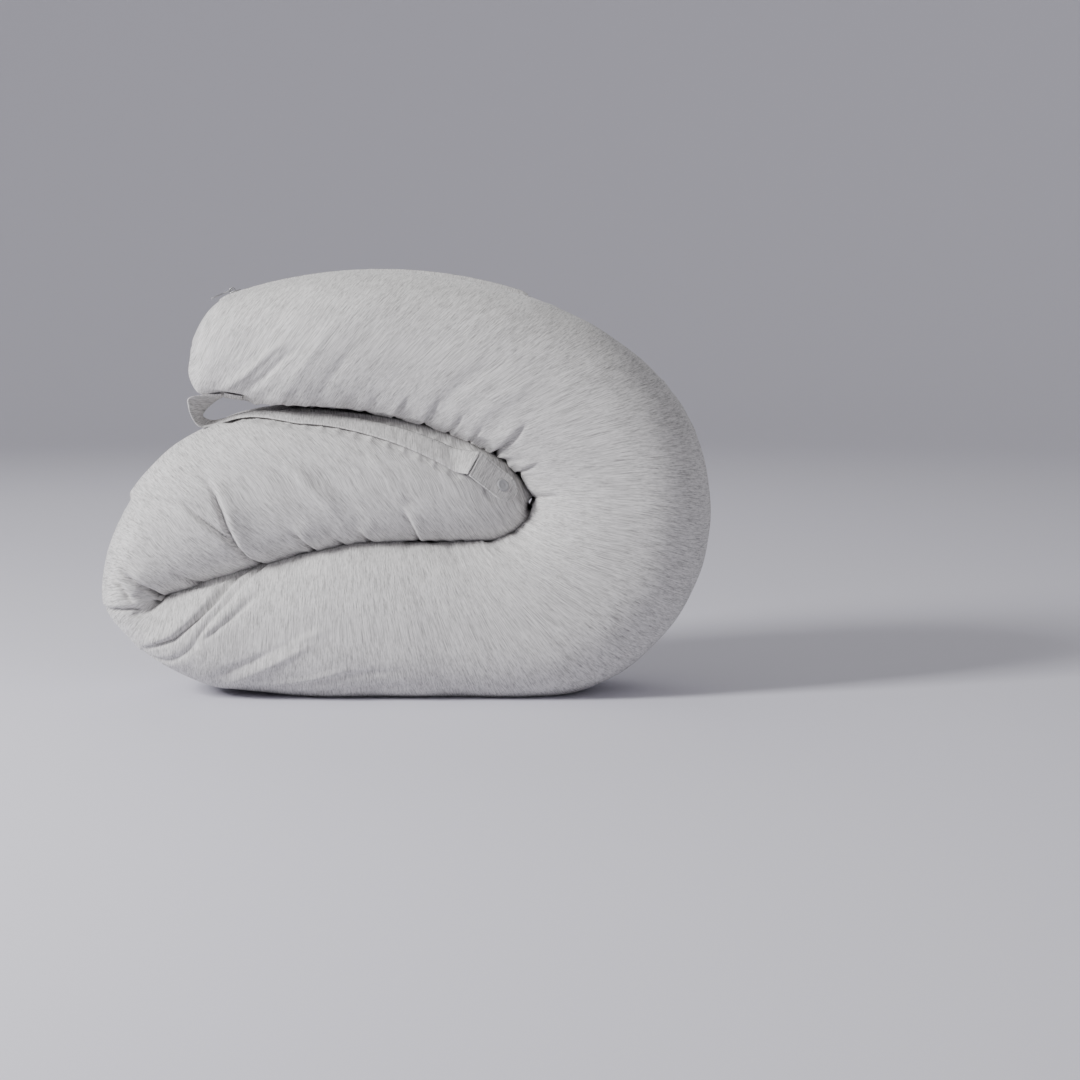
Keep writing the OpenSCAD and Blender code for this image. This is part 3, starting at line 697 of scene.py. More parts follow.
def object_from(name, points, faces, paint, maps=None, normals=None):
    """A closed mesh in millimetres. maps are the points' places on the cloth, for its grain."""
    mesh = bpy.data.meshes.new(name)
    mesh.from_pydata((np.asarray(points, float) * MM).tolist(), [], faces)
    mesh.shade_smooth()
    if maps is not None:
        cloth_map = mesh.attributes.new("grain", "FLOAT_VECTOR", "POINT")
        flat = np.concatenate([maps, np.zeros((len(maps), 1))], 1)
        cloth_map.data.foreach_set("vector", flat.astype(np.float32).ravel())
    if normals is not None:
        mesh.normals_split_custom_set_from_vertices(normals.tolist())
    mesh.materials.append(paint)
    piece = bpy.data.objects.new(name, mesh)
    bpy.context.collection.objects.link(piece)
    return piece


def shell(name, points, normals, faces, thick, s, a, paint):
    """A closed sheet of cloth, thick millimetres, under the given outer points."""
    used = np.unique(np.concatenate([np.array(f) for f in faces]))
    place = np.full(len(points), -1)
    place[used] = np.arange(len(used))
    under = points[used] - normals[used] * thick
    under[:, 2] = np.maximum(under[:, 2], points[used, 2].min() + thick)
    faces = [[int(place[i]) for i in f] for f in faces]
    count = len(used)
    edges = {(i, j) for f in faces for i, j in zip(f, f[1:] + f[:1])}
    rim = [[j, i, i + count, j + count] for i, j in edges if (j, i) not in edges]
    maps = np.stack(grain(s[used], a[used]), 1)
    return object_from(name, np.concatenate([points[used], under]),
                       faces + [[i + count for i in reversed(f)] for f in faces] + sorted(rim), paint,
                       np.concatenate([maps, maps]), np.concatenate([normals[used], -normals[used]]))


# The jersey: a marl of pale and dark fibres that shows as fine streaks across the arm.

class Value:
    """One socket of a material. Arithmetic on it adds Math nodes."""

    def __init__(self, paint, socket):
        self.paint, self.socket = paint, socket

    def join(self, operation, *others):
        return self.paint.node("Math", {"operation": operation}, *others)

    def __add__(self, other):
        return self.join("ADD", self, other)

    def __radd__(self, other):
        return self.join("ADD", other, self)

    def __sub__(self, other):
        return self.join("SUBTRACT", self, other)

    def __rsub__(self, other):
        return self.join("SUBTRACT", other, self)

    def __mul__(self, other):
        return self.join("MULTIPLY", self, other)

    def __rmul__(self, other):
        return self.join("MULTIPLY", other, self)


class Paint:
    """A material made of nodes, with one principled shader."""

    def __init__(self, name, **constants):
        self.material = bpy.data.materials.new(name)
        self.material.use_nodes = True
        self.tree = self.material.node_tree
        self.shader = self.tree.nodes["Principled BSDF"]
        for key, value in constants.items():
            self.shader.inputs[key.replace("_", " ")].default_value = value

    def node(self, kind, settings=None, *values, out=0, **named):
        made = self.tree.nodes.new("ShaderNode" + kind)
        for key, value in (settings or {}).items():
            if key == "stops":
                for _ in value[2:]:
                    made.color_ramp.elements.new(0.5)
                for element, (place, shade) in zip(made.color_ramp.elements, value):
                    element.position = place
                    element.color = (shade, shade, shade, 1)
            else:
                setattr(made, key, value)
        for key, value in [*enumerate(values), *named.items()]:
            socket = made.inputs[key if isinstance(key, int) else key.replace("_", " ")]
            if isinstance(value, Value):
                self.tree.links.new(value.socket, socket)
            else:
                socket.default_value = value
        return Value(self, made.outputs[out])

    def mix(self, factor, first, second):
        made = self.tree.nodes.new("ShaderNodeMix")
        made.data_type = "RGBA"
        for place, value in ((0, factor), (6, first), (7, second)):
            if isinstance(value, Value):
                self.tree.links.new(value.socket, made.inputs[place])
            else:
                made.inputs[place].default_value = value if place == 0 else (*value, 1)
        return Value(self, made.outputs[2])

    def noise(self, place, scale, detail=2, seed=0.0):
        shift = (seed, 2 * seed, 3 * seed)
        moved = self.node("VectorMath", {"operation": "MULTIPLY_ADD"}, place, scale, shift)
        return self.node("TexNoise", {}, Vector=moved, Scale=1.0, Detail=detail, Roughness=0.6)

    def waves(self, place, pitch):
        """Sine waves along each of the place's three directions, pitch apart."""
        by = [math.tau / p if p else 0 for p in pitch]
        turned = self.node("VectorMath", {"operation": "MULTIPLY"}, place, by)
        parts = [self.node("SeparateXYZ", {}, turned, out=k) for k in range(3)]
        return [self.node("Math", {"operation": "SINE"}, part) for part in parts]

    def on_cloth(self):
        return self.node("Attribute", {"attribute_name": "grain"}, out=1)

    def in_space(self):
        return self.node("TexCoord", out=3)

    def feed(self, socket, value):
        self.tree.links.new(value.socket, self.shader.inputs[socket])

    def bump(self, height, strength, distance):
        self.feed("Normal", self.node("Bump", {}, Strength=strength, Distance=distance, Height=height))


def jersey_paint(name, pale, dark):
    """Heather jersey. pale and dark are the colours of its two fibres."""
    paint = Paint(name, Roughness=0.92, Sheen_Weight=0.25, Sheen_Roughness=0.5)
    place = paint.on_cloth()
    fine = paint.noise(place, (1 / 0.75, 1 / 11, 0), 2, 3.1)
    middling = paint.noise(place, (1 / 1.1, 1 / 20, 0), 2, 9.7)
    broad = paint.noise(place, (1 / 14, 1 / 60, 0), 2, 17.3)
    fleck = paint.noise(place, (1 / 0.6, 1 / 4, 0), 1, 27.9)
    tone = (fine - 0.5) * 1.7 + (middling - 0.5) * 1.3 + (broad - 0.5) * 0.3 + (fleck - 0.5) * 1.0 + 0.5
    shade = paint.node("ValToRGB", {"stops": [(0.0, 0.0), (0.45, 0.6), (0.85, 1.0)]}, tone)
    paint.feed("Base Color", paint.mix(shade, dark, pale))
    # Knitted loops, about one every millimetre each way, over the fibres' own unevenness.
    columns, rows, _ = paint.waves(place, (0.95, 0.8, 0))
    paint.bump(columns * rows * 0.4 + fine * 0.5 + fleck * 0.5, 0.35, 0.0004)
    return paint.material


jersey = jersey_paint("heather_jersey", (0.712, 0.697, 0.685), (0.285, 0.278, 0.272))


def dress(step, thick, name, paint, deeper):
    """One layer of the pillow's cloth: its front and back panels, for the main length and the tail."""
    s, from_seam, panels = cut_tube(step)
    a = from_seam + seam_turn(s)
    faces = sum(panels.values(), [])
    bare = skin(s, a)
    normals = face_normals(bare, faces)
    turned = ((bare - rib_middle(s)) * normals).sum() < 0
    if turned:
        normals = -normals
        panels = {key: [f[::-1] for f in group] for key, group in panels.items()}
    shaped = shape_cloth(bare, normals, s, from_seam, deeper)
    shaped_normals = face_normals(shaped, sum(panels.values(), []))
    for (side, arm), group in panels.items():
        piece = shell(f"{name}_{side}_{arm}", shaped, shaped_normals, group, thick, s, a, paint)
        ends = ("top", "base") if arm == "main" else ("tail",)
        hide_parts(*[f"{name}_{side}_{end}" for end in ends])
        if arm == "main":
            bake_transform(piece)
        else:
            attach(piece, "base")


dress(2.1, 1.0, "cover", jersey, 0.0)

# ---- Inner case and filling -----------------------------------------------------------------
# Under the cover a plain cotton case, sewn the same way, holds loose polyester fibre. Neither shows
# while the zip is closed.

def cotton_paint():
    paint = Paint("cotton_case", Roughness=0.85, Sheen_Weight=0.1)
    place = paint.on_cloth()
    warp, weft, _ = paint.waves(place, (0.7, 0.7, 0))
    slub = paint.noise(place, (0.4, 0.1, 0), 2, 5.0)
    paint.feed("Base Color", paint.mix(slub, (0.80, 0.79, 0.75), (0.88, 0.87, 0.84)))
    paint.bump(warp * weft + slub, 0.3, 0.0003)
    return paint.material


def fibre_paint():
    paint = Paint("polyester_fibre", Roughness=0.95, Sheen_Weight=0.4)
    place = paint.in_space()
    tuft = paint.noise(place, (60, 60, 60), 4, 2.0)
    strand = paint.noise(place, (900, 200, 500), 3, 8.0)
    paint.feed("Base Color", paint.mix(tuft, (0.78, 0.78, 0.78), (0.92, 0.92, 0.92)))
    paint.bump(tuft * 2 + strand, 0.6, 0.002)
    return paint.material


dress(7.5, 0.6, "case", cotton_paint(), 2.5)
fibre = fibre_paint()
s, from_seam, panels = cut_tube(9)
a = from_seam + seam_turn(s)
packed = skin(s, a, 8.5)
packed[:, 2] = np.maximum(packed[:, 2], 5.5)
for arm, nodes in (("main", ("filling_top", "filling_base")), ("tail", ("filling_tail",))):
    bm = bmesh.new()
    corners = [bm.verts.new(p) for p in packed * MM]
    for f in panels["front", arm] + panels["back", arm]:
        bm.faces.new([corners[i] for i in f])
    bmesh.ops.delete(bm, geom=[v for v in bm.verts if not v.link_faces], context="VERTS")
    bmesh.ops.holes_fill(bm, edges=[e for e in bm.edges if e.is_boundary], sides=0)
    bmesh.ops.recalc_face_normals(bm, faces=bm.faces[:])
    mesh = bpy.data.meshes.new(f"filling_{arm}")
    bm.to_mesh(mesh)
    bm.free()
    mesh.materials.append(fibre)
    piece = bpy.data.objects.new(f"filling_{arm}", mesh)
    bpy.context.collection.objects.link(piece)
    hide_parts(*nodes)
    if arm == "main":
        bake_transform(piece)
    else:
        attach(piece, "base")

# ---- Strap ----------------------------------------------------------------------------------
# A flat strap of the same jersey, folded double and top-stitched. It is sewn under the top arm's
# tip, hangs out in a small loop and runs back between the arms to the press stud.

thread = Paint("thread", Roughness=0.7, Sheen_Weight=0.2)
twist = thread.waves(thread.in_space(), (0.0006, 0.0006, 0.0006))
thread.feed("Base Color", thread.mix(twist[0] * 0.5 + 0.5, (0.42, 0.42, 0.415), (0.56, 0.56, 0.55)))
thread = thread.material


def smooth_rows(rows, step):
    """Rows evenly spaced along a smooth surface through the given rows, and its length."""
    rows = np.array(rows)
    t = np.linspace(0, len(rows) - 1, 30 * (len(rows) - 1) + 1)
    run = run_along(smooth_between(rows, t)[:, rows.shape[1] // 2])
    at = np.interp(np.linspace(0, run[-1], max(2, int(run[-1] / step) + 1)), run, t)
    return smooth_between(rows, at), run[-1]


def row_normals(rows):
    along = np.gradient(rows, axis=0)
    across = np.gradient(rows, axis=1)
    n = np.cross(across, along)
    return n / np.linalg.norm(n, axis=2)[:, :, None]


stitch_in = 2.6          # from a band's edge to its stitches


def ribbon(name, rows, wide, thick, ripple, paint, step=1.6, cushion=0.35, lift=0.0):
    """A folded and stitched band through the rows. Its edges are round, and it is drawn in along
    its two lines of stitches. Gives the piece, its outer surface, its normals and its length."""
    rows, length = smooth_rows(rows, step)
    normals = row_normals(rows)
    m, n = rows.shape[:2]
    across = np.linspace(0, wide, n)
    along = np.linspace(0, length, m)
    edge = np.minimum(across, wide - across)
    from_stitch = edge - stitch_in
    half = thick / 2 * np.sqrt(np.clip(1 - (1 - np.clip(edge / (0.9 * thick), 0, 1)) ** 2, 0.12, 1))
    half += cushion / 2 * np.sin(np.pi * np.clip(from_stitch / (wide / 2 - stitch_in), 0, 1)) ** 0.8
    half -= 0.168 * thick * np.exp(-(from_stitch / 0.8) ** 2)
    wave = ripple * np.array([[noise.noise((y / 9, x / 14, 3.0)) + 0.5 * noise.noise((y / 3.5, x / 8, 7.0))
                               for x in across] for y in along])
    rows = rows + normals * (lift * ease((across - 0.6 * wide) / (0.4 * wide)))[None, :, None]
    upper = rows + normals * (half[None, :, None] + wave[:, :, None])
    lower = rows - normals * half[None, :, None]
    points = np.concatenate([upper.reshape(-1, 3), lower.reshape(-1, 3)])
    under = m * n
    faces = []
    for j in range(m - 1):
        for k in range(n - 1):
            i = j * n + k
            faces.append([i, i + n, i + n + 1, i + 1])
            faces.append([under + i, under + i + 1, under + i + n + 1, under + i + n])
        faces.append([j * n, under + j * n, under + j * n + n, j * n + n])
        faces.append([j * n + n - 1, j * n + 2 * n - 1, under + j * n + 2 * n - 1, under + j * n + n - 1])
    for k in range(n - 1):
        faces.append([k, k + 1, under + k + 1, under + k])
        last = (m - 1) * n + k
        faces.append([last, under + last, under + last + 1, last + 1])
    maps = np.stack(np.meshgrid(along, across, indexing="ij"), 2).reshape(-1, 2)
    piece = object_from(name, points, faces, paint, np.concatenate([maps, maps]))
    return piece, upper, normals, length


def stitches(name, runs, long=2.2, gap=1.1, thick=0.5):
    """Stitches along lines of (point, normal), half sunk in the cloth."""
    points, faces = [], []
    for line, normals in runs:
        line, normals = np.array(line), np.array(normals)
        run = run_along(line)
        for start in np.arange(gap / 2, run[-1] - long, long + gap):
            ends = [np.array([np.interp(d, run, line[:, k]) for k in range(3)])
                    for d in (start, start + long)]
            up = np.array([np.interp(start, run, normals[:, k]) for k in range(3)])
            way = (ends[1] - ends[0]) / np.linalg.norm(ends[1] - ends[0])
            side = np.cross(way, up)
            first = len(points)
            for t, r in ((0, 0.25), (0.12, 0.8), (0.5, 1), (0.88, 0.8), (1, 0.25)):
                centre = ends[0] + t * (ends[1] - ends[0]) + up * thick * (0.45 * r - 0.25)
                for k in range(6):
                    turn = k * math.tau / 6
                    points.append(centre + r * thick / 2 * (math.cos(turn) * side + math.sin(turn) * up))
            for ring in range(4):
                for k in range(6):
                    i, j = first + ring * 6 + k, first + ring * 6 + (k + 1) % 6
                    faces.append([i, j, j + 6, i + 6])
            faces.append([first + k for k in range(5, -1, -1)])
            faces.append([first + 24 + k for k in range(6)])
    return object_from(name, points, faces, thread)


def line_of(surface, normals, k):
    """A line along a ribbon, k of the way across it."""
    i = int(round(k * (surface.shape[1] - 1)))
    return surface[:, i], normals[:, i]


strap, strap_top, strap_normals, strap_l = ribbon(
    "strap", strap_rows, strap_w, strap_t, 0.55, jersey, lift=1.0)
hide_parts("strap")
strap_l * MM
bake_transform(strap)
strap_lines = [line_of(strap_top, strap_normals, k) for k in (0.085, 0.915)]
strap_seams = stitches("strap_stitches", strap_lines)
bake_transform(strap_seams)

anchor, anchor_top, anchor_normals, anchor_l = ribbon(
    "strap_anchor", anchor_rows, pleated_w, strap_t, 0.3, jersey)
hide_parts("strap_anchor")
anchor_l * MM
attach(anchor, "top_arm")
# The sewn end has a box of stitches with a cross in it.
lo, hi = 0.12, 0.88
last = np.array(anchor_top.shape[:2]) - 1
sewn = np.array([(lo, lo), (lo, hi), (hi, hi), (hi, lo), (lo, lo), (hi, hi), (hi, lo), (lo, hi)])
runs = []
for a, b in zip(sewn, sewn[1:]):
    spots = [tuple(np.round((a + (b - a) * t) * last).astype(int)) for t in np.linspace(0, 1, 9)]
    runs.append(([anchor_top[spot] for spot in spots], [anchor_normals[spot] for spot in spots]))
anchor_seams = stitches("anchor_stitches", runs)
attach(anchor_seams, "top_arm")

# ---- Press stud -----------------------------------------------------------------------------
# The strap ends in a rounded tab with a plastic press stud: a cap and a socket on the tab, and a
# stud and washer through a round patch on the tail's shoulder.

part_gap = 0.1
tab_l = 52
cap_d, stud_d, stud_gap, patch_d = 13, 4, 0.4, 27
cap_t, socket_t, patch_t, washer_t = 1.2, 1.8, 1.2, 0.6


def on_tab(points, along=0.0, out=0.0):
    frame_of = np.array([tab_dir, tab_up, tab_out])
    return np.array(points, float) @ frame_of + np.array(tab_root + along * tab_dir + out * tab_out)


def hoop_faces(rings, n):
    """Faces between rings of n points, the last ring joined to the first."""
    return [[j * n + k, j * n + (k + 1) % n, (j + 1) % rings * n + (k + 1) % n, (j + 1) % rings * n + k]
            for j in range(rings) for k in range(n)]


def turned(profile, steps=64):
    """A closed lathed shape about the third axis, from (radius, height) pairs that go round it."""
    turns = np.arange(steps) * math.tau / steps
    points = [(r * math.cos(t), r * math.sin(t), z) for r, z in profile for t in turns]
    return np.array(points), hoop_faces(len(profile), steps)


def resin_paint(name, colour):
    paint = Paint(name, Roughness=0.38, Specular_IOR_Level=0.45)
    place = paint.in_space()
    haze = paint.noise(place, (300, 300, 300), 3, 4.0)
    paint.feed("Roughness", haze * 0.18 + 0.3)
    paint.feed("Base Color", paint.mix(haze, [0.92 * c for c in colour], colour))
    paint.bump(paint.noise(place, (2500, 2500, 2500), 2, 6.0), 0.12, 0.0002)
    return paint.material


grey_resin = resin_paint("stud_resin", (0.40, 0.40, 0.41))
r = cap_d / 2
shank = stud_d / 2 - part_gap
eps = 0.02               # a lathed shape stops this far from its axis
cap_profile = [(eps, -strap_t), (shank - 0.2, -strap_t), (shank, -strap_t + 0.2), (shank, 0),
               (r - 0.5, 0), (r - 0.1, 0.1), (r, 0.4), (r - 0.15, 0.75), (r - 0.7, 1.05),
               (r - 1.6, cap_t), (r - 2.2, cap_t - 0.12), (r - 2.6, cap_t - 0.3),
               (r - 3.4, cap_t - 0.36), (1.1, cap_t - 0.3), (0.8, cap_t - 0.15), (eps, cap_t - 0.1)]
ring = r - 0.5
mouth = stud_d / 2 + stud_gap
socket_profile = [(mouth, 0.25), (mouth + 0.25, 0), (ring - 0.4, 0), (ring, 0.35), (ring, 0.8),
                  (ring - 1.3, 1.0), (ring - 1.5, 1.35), (ring - 1.5, socket_t),
                  (mouth + 0.2, socket_t), (mouth, socket_t - 0.2)]
post = stud_d / 2
stud_profile = [(eps, 0), (ring - 0.2, 0), (ring, 0.2), (ring, washer_t - 0.1), (ring - 0.2, washer_t)]
stud_profile += [(post + out, washer_t + up) for out, up in
                 [(0.25, 0), (-0.05, 0.35), (-0.05, 0.7), (0, 1.0), (-0.25, 1.35)]]
stud_profile += [(eps, washer_t + 0.8 * socket_t)]
washer_profile = [(eps, 0), (ring - 0.3, 0), (ring, 0.3), (ring, washer_t), (eps, washer_t)]
stack = [
    ("popper_cap", cap_profile, strap_t + part_gap, "strap_end"),
    ("popper_socket", socket_profile, -socket_t - part_gap, "strap_end"),
    ("popper_stud", stud_profile, -socket_t - 2 * part_gap - washer_t, "base"),
    ("popper_washer", washer_profile, -socket_t - 4 * part_gap - 2 * washer_t - patch_t, "base"),
]
for name, profile, out, body in stack:
    points, faces = turned(profile)
    piece = object_from(name, on_tab(points, popper_x, out), faces, grey_resin)
    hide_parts(name)
    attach(piece, body)

# The patch: two turned-in layers of jersey with a zigzag stitch round the edge.
rings = [(0.0, 0.5), (4.0, 0.55), (8.0, 0.6), (10.2, 0.62), (11.0, 0.42), (11.8, 0.56), (12.8, 0.5),
         (13.3, 0.3), (13.5, 0.0), (13.3, -0.3), (12.6, -0.5), (6.0, -0.6), (0.0, -0.6)]
points, faces = turned([(max(r, eps), z) for r, z in rings], 72)
patch_out = -socket_t - 3 * part_gap - washer_t - patch_t / 2
patch = object_from("popper_patch", on_tab(points, popper_x, patch_out), faces, jersey,
                    points[:, :2])
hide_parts("popper_patch")
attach(patch, "base")
zigzag = [(reach * math.cos(t), reach * math.sin(t), 0.62) for t, reach in
          zip(np.arange(65) * math.tau / 64, [12.2, 10.4] * 32 + [12.2])]
patch_lines = [(on_tab([a, b], popper_x, patch_out), [tab_out, tab_out]) for a, b in zip(zigzag, zigzag[1:])]
patch_seam = stitches("patch_stitches", patch_lines, long=1.7, gap=0.2, thick=0.4)
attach(patch_seam, "base")

# The tab: the strap's end, rounded, with a hem line inside its edge and a hole for the stud.

def tab_ring(inset, z):
    """A line inset from the tab's outline, z above its inner face."""
    half = strap_w / 2
    straight = tab_l - half
    outline = [(x, half) for x in np.linspace(0, straight, 14)[:-1]]
    outline += [(straight + half * math.cos(t), half * math.sin(t))
                for t in np.linspace(math.pi / 2, -math.pi / 2, 20)]
    outline += [(x, -half) for x in np.linspace(straight, 0, 14)[1:]]
    outline += [(0, y) for y in np.linspace(-half, half, 8)[1:-1]]
    hub = np.array([popper_x, 0])
    ring = []
    for x, y in outline:
        d = hub - (x, y)
        p = (x, y) + d / np.linalg.norm(d) * inset
        ring.append((p[0], p[1], z))
    return ring


hole = stud_d / 2 + part_gap
levels = [(0.5, 0.0), (0.1, 0.25), (0.0, 0.8), (0.1, 1.35), (0.5, 1.58), (1.9, 1.62), (2.5, 1.36),
          (3.1, 1.62)]
outer_rings = [tab_ring(inset, z) for inset, z in levels]
n = len(outer_rings[0])
points = [p for ring in outer_rings for p in ring]
edge_top, edge_low = np.array(outer_rings[-1]), np.array(outer_rings[0])
hub = np.array([popper_x, 0, 0])


def hole_ring(z, like):
    d = like[:, :2] - hub[:2]
    d = d / np.linalg.norm(d, axis=1)[:, None] * hole
    return np.column_stack([hub[:2] + d, np.full(n, z)])


for share in (0.25, 0.5, 0.75, 1.0):
    points += list(edge_top * (1 - share) + hole_ring(1.6, edge_top) * share)
for share in (1.0, 0.66, 0.33):
    points += list(edge_low * (1 - share) + hole_ring(0.0, edge_low) * share)
faces = hoop_faces(len(points) // n, n)
points = np.array(points)
tab = object_from("popper_tab", on_tab(points), faces, jersey, points[:, :2])
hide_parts("popper_tab")
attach(tab, "strap_end")
hem_points = 46          # the outline's points, without those of its sewn end
hem = on_tab(tab_ring(2.5, 1.5)[:hem_points])
tab_seam = stitches("tab_stitches", [(hem, [tab_out] * len(hem))])
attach(tab_seam, "strap_end")

# ---- Zip ------------------------------------------------------------------------------------
# A fine nylon coil zip in the top arm's upper seam: two woven tapes under turned edges of the
# cover, two rows of coils, a moulded stop at each end, a slider and its pull.

tape_w, tape_t = 11, 0.6
coil_w, coil_h = 2.2, 1.6
stop_l = 3
slider_l, slider_gap = 11, 0.35
plate_t, flange_t = 0.9, 0.9
per_mm = math.degrees(1 / zip_r)
teeth_top = tape_t + coil_h
slider_turn = zip_low + (stop_l + slider_l / 2 + 0.5) * per_mm


def along_arc(turns, profile):
    """Points of a profile of (y, height above the tapes' underside) carried along the zip."""
    return np.array([on_arc(t, zip_r + z, y) for t in turns for y, z in profile])


def bar_faces(m, n):
    faces = [[j * n + k, (j + 1) * n + k, (j + 1) * n + (k + 1) % n, j * n + (k + 1) % n]
             for j in range(m - 1) for k in range(n)]
    return faces + [list(range(n)), [(m - 1) * n + k for k in reversed(range(n))]]


def tape_paint():
    paint = Paint("zip_tape", Roughness=0.75, Sheen_Weight=0.15)
    place = paint.on_cloth()
    rib, pick, _ = paint.waves(place, (0.55, 0.8, 0))
    paint.feed("Base Color", paint.mix(rib * pick * 0.5 + 0.5, (0.20, 0.20, 0.205), (0.31, 0.31, 0.315)))
    paint.bump(rib * pick, 0.5, 0.0002)
    return paint.material


def nylon_paint():
    paint = Paint("zip_coil", Roughness=0.35, Specular_IOR_Level=0.5)
    grit = paint.noise(paint.in_space(), (1500, 1500, 1500), 2, 1.0)
    paint.feed("Base Color", paint.mix(grit, (0.22, 0.22, 0.225), (0.30, 0.30, 0.305)))
    paint.feed("Roughness", grit * 0.2 + 0.25)
    paint.bump(grit, 0.1, 0.0001)
    return paint.material


tape_cloth, coil_nylon = tape_paint(), nylon_paint()
tape_n = 200
tape_turns = np.linspace(zip_low, zip_high, tape_n)
tape_outline = [(1.1, 0.1), (1.1, 0.5), (1.4, 0.6), (3.4, 0.6), (3.7, 0.48), (10.6, 0.48), (11, 0.4),
                (11, 0.1), (10.7, 0.0), (1.4, 0.0)]
coil_pitch = 1.5
wire_r = 0.33
for side, way in (("front", -1), ("back", 1)):
    profile = [(zip_y + way * y, z) for y, z in tape_outline[::-way]]
    points = along_arc(tape_turns, profile)
    maps = np.array([(j * zip_l / (tape_n - 1), y) for j in range(tape_n) for y, _ in profile])
    faces = bar_faces(tape_n, len(profile))
    piece = object_from(f"zip_tape_{side}", points, faces, tape_cloth, maps)
    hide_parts(f"zip_tape_{side}")
    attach(piece, "top_arm")

    # One row of the coil: a flattened spiral whose heads reach past the middle.
    path = []
    for t in np.arange(0, (zip_l - 2 * stop_l) / coil_pitch, 1 / 12):
        turn = math.tau * (t + (0.5 if way > 0 else 0))
        swing = math.copysign(abs(math.cos(turn)) ** 0.75, math.cos(turn))
        reach = coil_w / 2 + 0.15 + (coil_w / 2 - 0.35) * swing
        rise = tape_t + wire_r + (coil_h - 2 * wire_r) * (0.5 + 0.5 * math.sin(turn))
        place = zip_low + (stop_l + t * coil_pitch) * per_mm
        path.append(on_arc(place, zip_r + rise, zip_y + way * reach))
    path = np.array(path)
    way_on = np.gradient(path, axis=0)
    way_on /= np.linalg.norm(way_on, axis=1)[:, None]
    up = path - [crown_x, 0, crown_z]
    side_way = np.cross(way_on, up)
    side_way /= np.linalg.norm(side_way, axis=1)[:, None]
    up = np.cross(side_way, way_on)
    ring = [(math.cos(k * math.tau / 6), math.sin(k * math.tau / 6)) for k in range(6)]
    points = np.concatenate([[p + wire_r * (c * n + d * u) for c, d in ring]
                             for p, n, u in zip(path, side_way, up)])
    faces = bar_faces(len(path), 6)
    piece = object_from(f"zip_teeth_{side}", points, faces, coil_nylon)
    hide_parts(f"zip_teeth_{side}")
    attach(piece, "top_arm")

for name, start in (("zip_stop_closed", zip_low), ("zip_stop_open", zip_high - (stop_l - 0.2) * per_mm)):
    turns = start + np.array([0, 0.25, 0.9, 1.4, 1.9, 2.55, 2.8]) * per_mm
    points = []
    for t, swell in zip(turns, (0.8, 0.94, 1, 0.96, 1, 0.94, 0.8)):
        w, low, high = coil_w * swell, tape_t, tape_t + coil_h * swell
        profile = [(-w, low), (-w, high - 0.5), (-w + 0.45, high)]
        profile += [(-y, z) for y, z in reversed(profile)]
        points += [on_arc(t, zip_r + z, zip_y + y) for y, z in profile]
    piece = object_from(name, points, bar_faces(7, 6), grey_resin)
    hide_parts(name)
    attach(piece, "top_arm")

# The cover's turned edges lie over the tapes, top-stitched.
lip_in = 3.1
lip_n = 266
tapered = 8              # points at each end over which a lip closes over the tapes
lip_turns = np.linspace(zip_low - 1.0, zip_high + 1.0, lip_n)
lip_seams = []
stitch_at = 6.6          # from the zip's middle to the top-stitching
for side, way in (("front", -1), ("back", 1)):
    points, maps = [], []
    for j, t in enumerate(lip_turns):
        swell = 0.25 * noise.noise((j * 0.23, 0.5, 9.0 * way)) + 0.15 * noise.noise((j * 0.7, 4.5, 9.0 * way))
        past_end = 1 - min(1, min(j, lip_n - 1 - j) / tapered)
        inside = lip_in - 2.9 * min(1, 1.6 * past_end) ** 2 + 0.3 * noise.noise((j * 0.11, 1.5, way))
        outline = [(inside + 0.1, 0.75), (inside, 1.15), (inside + 0.15, 1.55 + swell),
                   (inside + 0.7, 1.85 + swell), (inside + 1.6, 1.95 + swell), (5.7, 1.7 + 0.5 * swell),
                   (stitch_at, 1.15), (7.5, 1.55 + 0.5 * swell), (9.5, 1.3), (11.8, 0.75), (14, 0.0),
                   (17, -1.7), (17, -2.2), (11.5, -0.6), (inside + 0.8, 0.65)][::-way]
        outline = [(y, z - 1.9 * past_end ** 2 * (z > -0.5)) for y, z in outline]
        points += [on_arc(t, zip_r + z, zip_y + way * y) for y, z in outline]
        maps += [(j * 1.2, y) for y, z in outline]
    faces = bar_faces(lip_n, len(outline))
    lip = object_from(f"zip_lip_{side}", points, faces, jersey, np.array(maps))
    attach(lip, "top_arm")
    sewn_turns = lip_turns[tapered:-tapered]
    line = [on_arc(t, zip_r + 1.1, zip_y + way * stitch_at) for t in sewn_turns]
    lip_seams.append((line, [np.array(on_arc(t, 1, 0)) - (crown_x, 0, crown_z) for t in sewn_turns]))
for t in (lip_turns[tapered - 1], lip_turns[-tapered]):
    up = np.array(on_arc(t, 1, 0)) - (crown_x, 0, crown_z)
    for y in np.arange(-6, 6, 0.7):
        ends = [on_arc(t + s * 1.3 * per_mm, zip_r + 1.35, zip_y + y) for s in (-1, 1)]
        lip_seams.append((ends, [up, up]))
zip_seams = stitches("zip_stitches", lip_seams)
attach(zip_seams, "top_arm")


def metal_paint():
    """Grey enamel over die-cast metal, worn a little brighter where it rubs."""
    paint = Paint("slider_metal", Metallic=0.75, Coat_Weight=0.2)
    place = paint.in_space()
    wear = paint.noise(place, (700, 700, 700), 4, 2.0)
    edge = paint.node("NewGeometry", out=7)
    rub = paint.node("ValToRGB", {"stops": [(0.50, 0.0), (0.58, 1.0)]}, edge)
    paint.feed("Base Color", paint.mix(rub * wear, (0.23, 0.23, 0.235), (0.55, 0.55, 0.56)))
    paint.feed("Roughness", wear * 0.25 + 0.25)
    paint.bump(paint.noise(place, (3000, 3000, 3000), 2, 5.0), 0.15, 0.0002)
    return paint.material


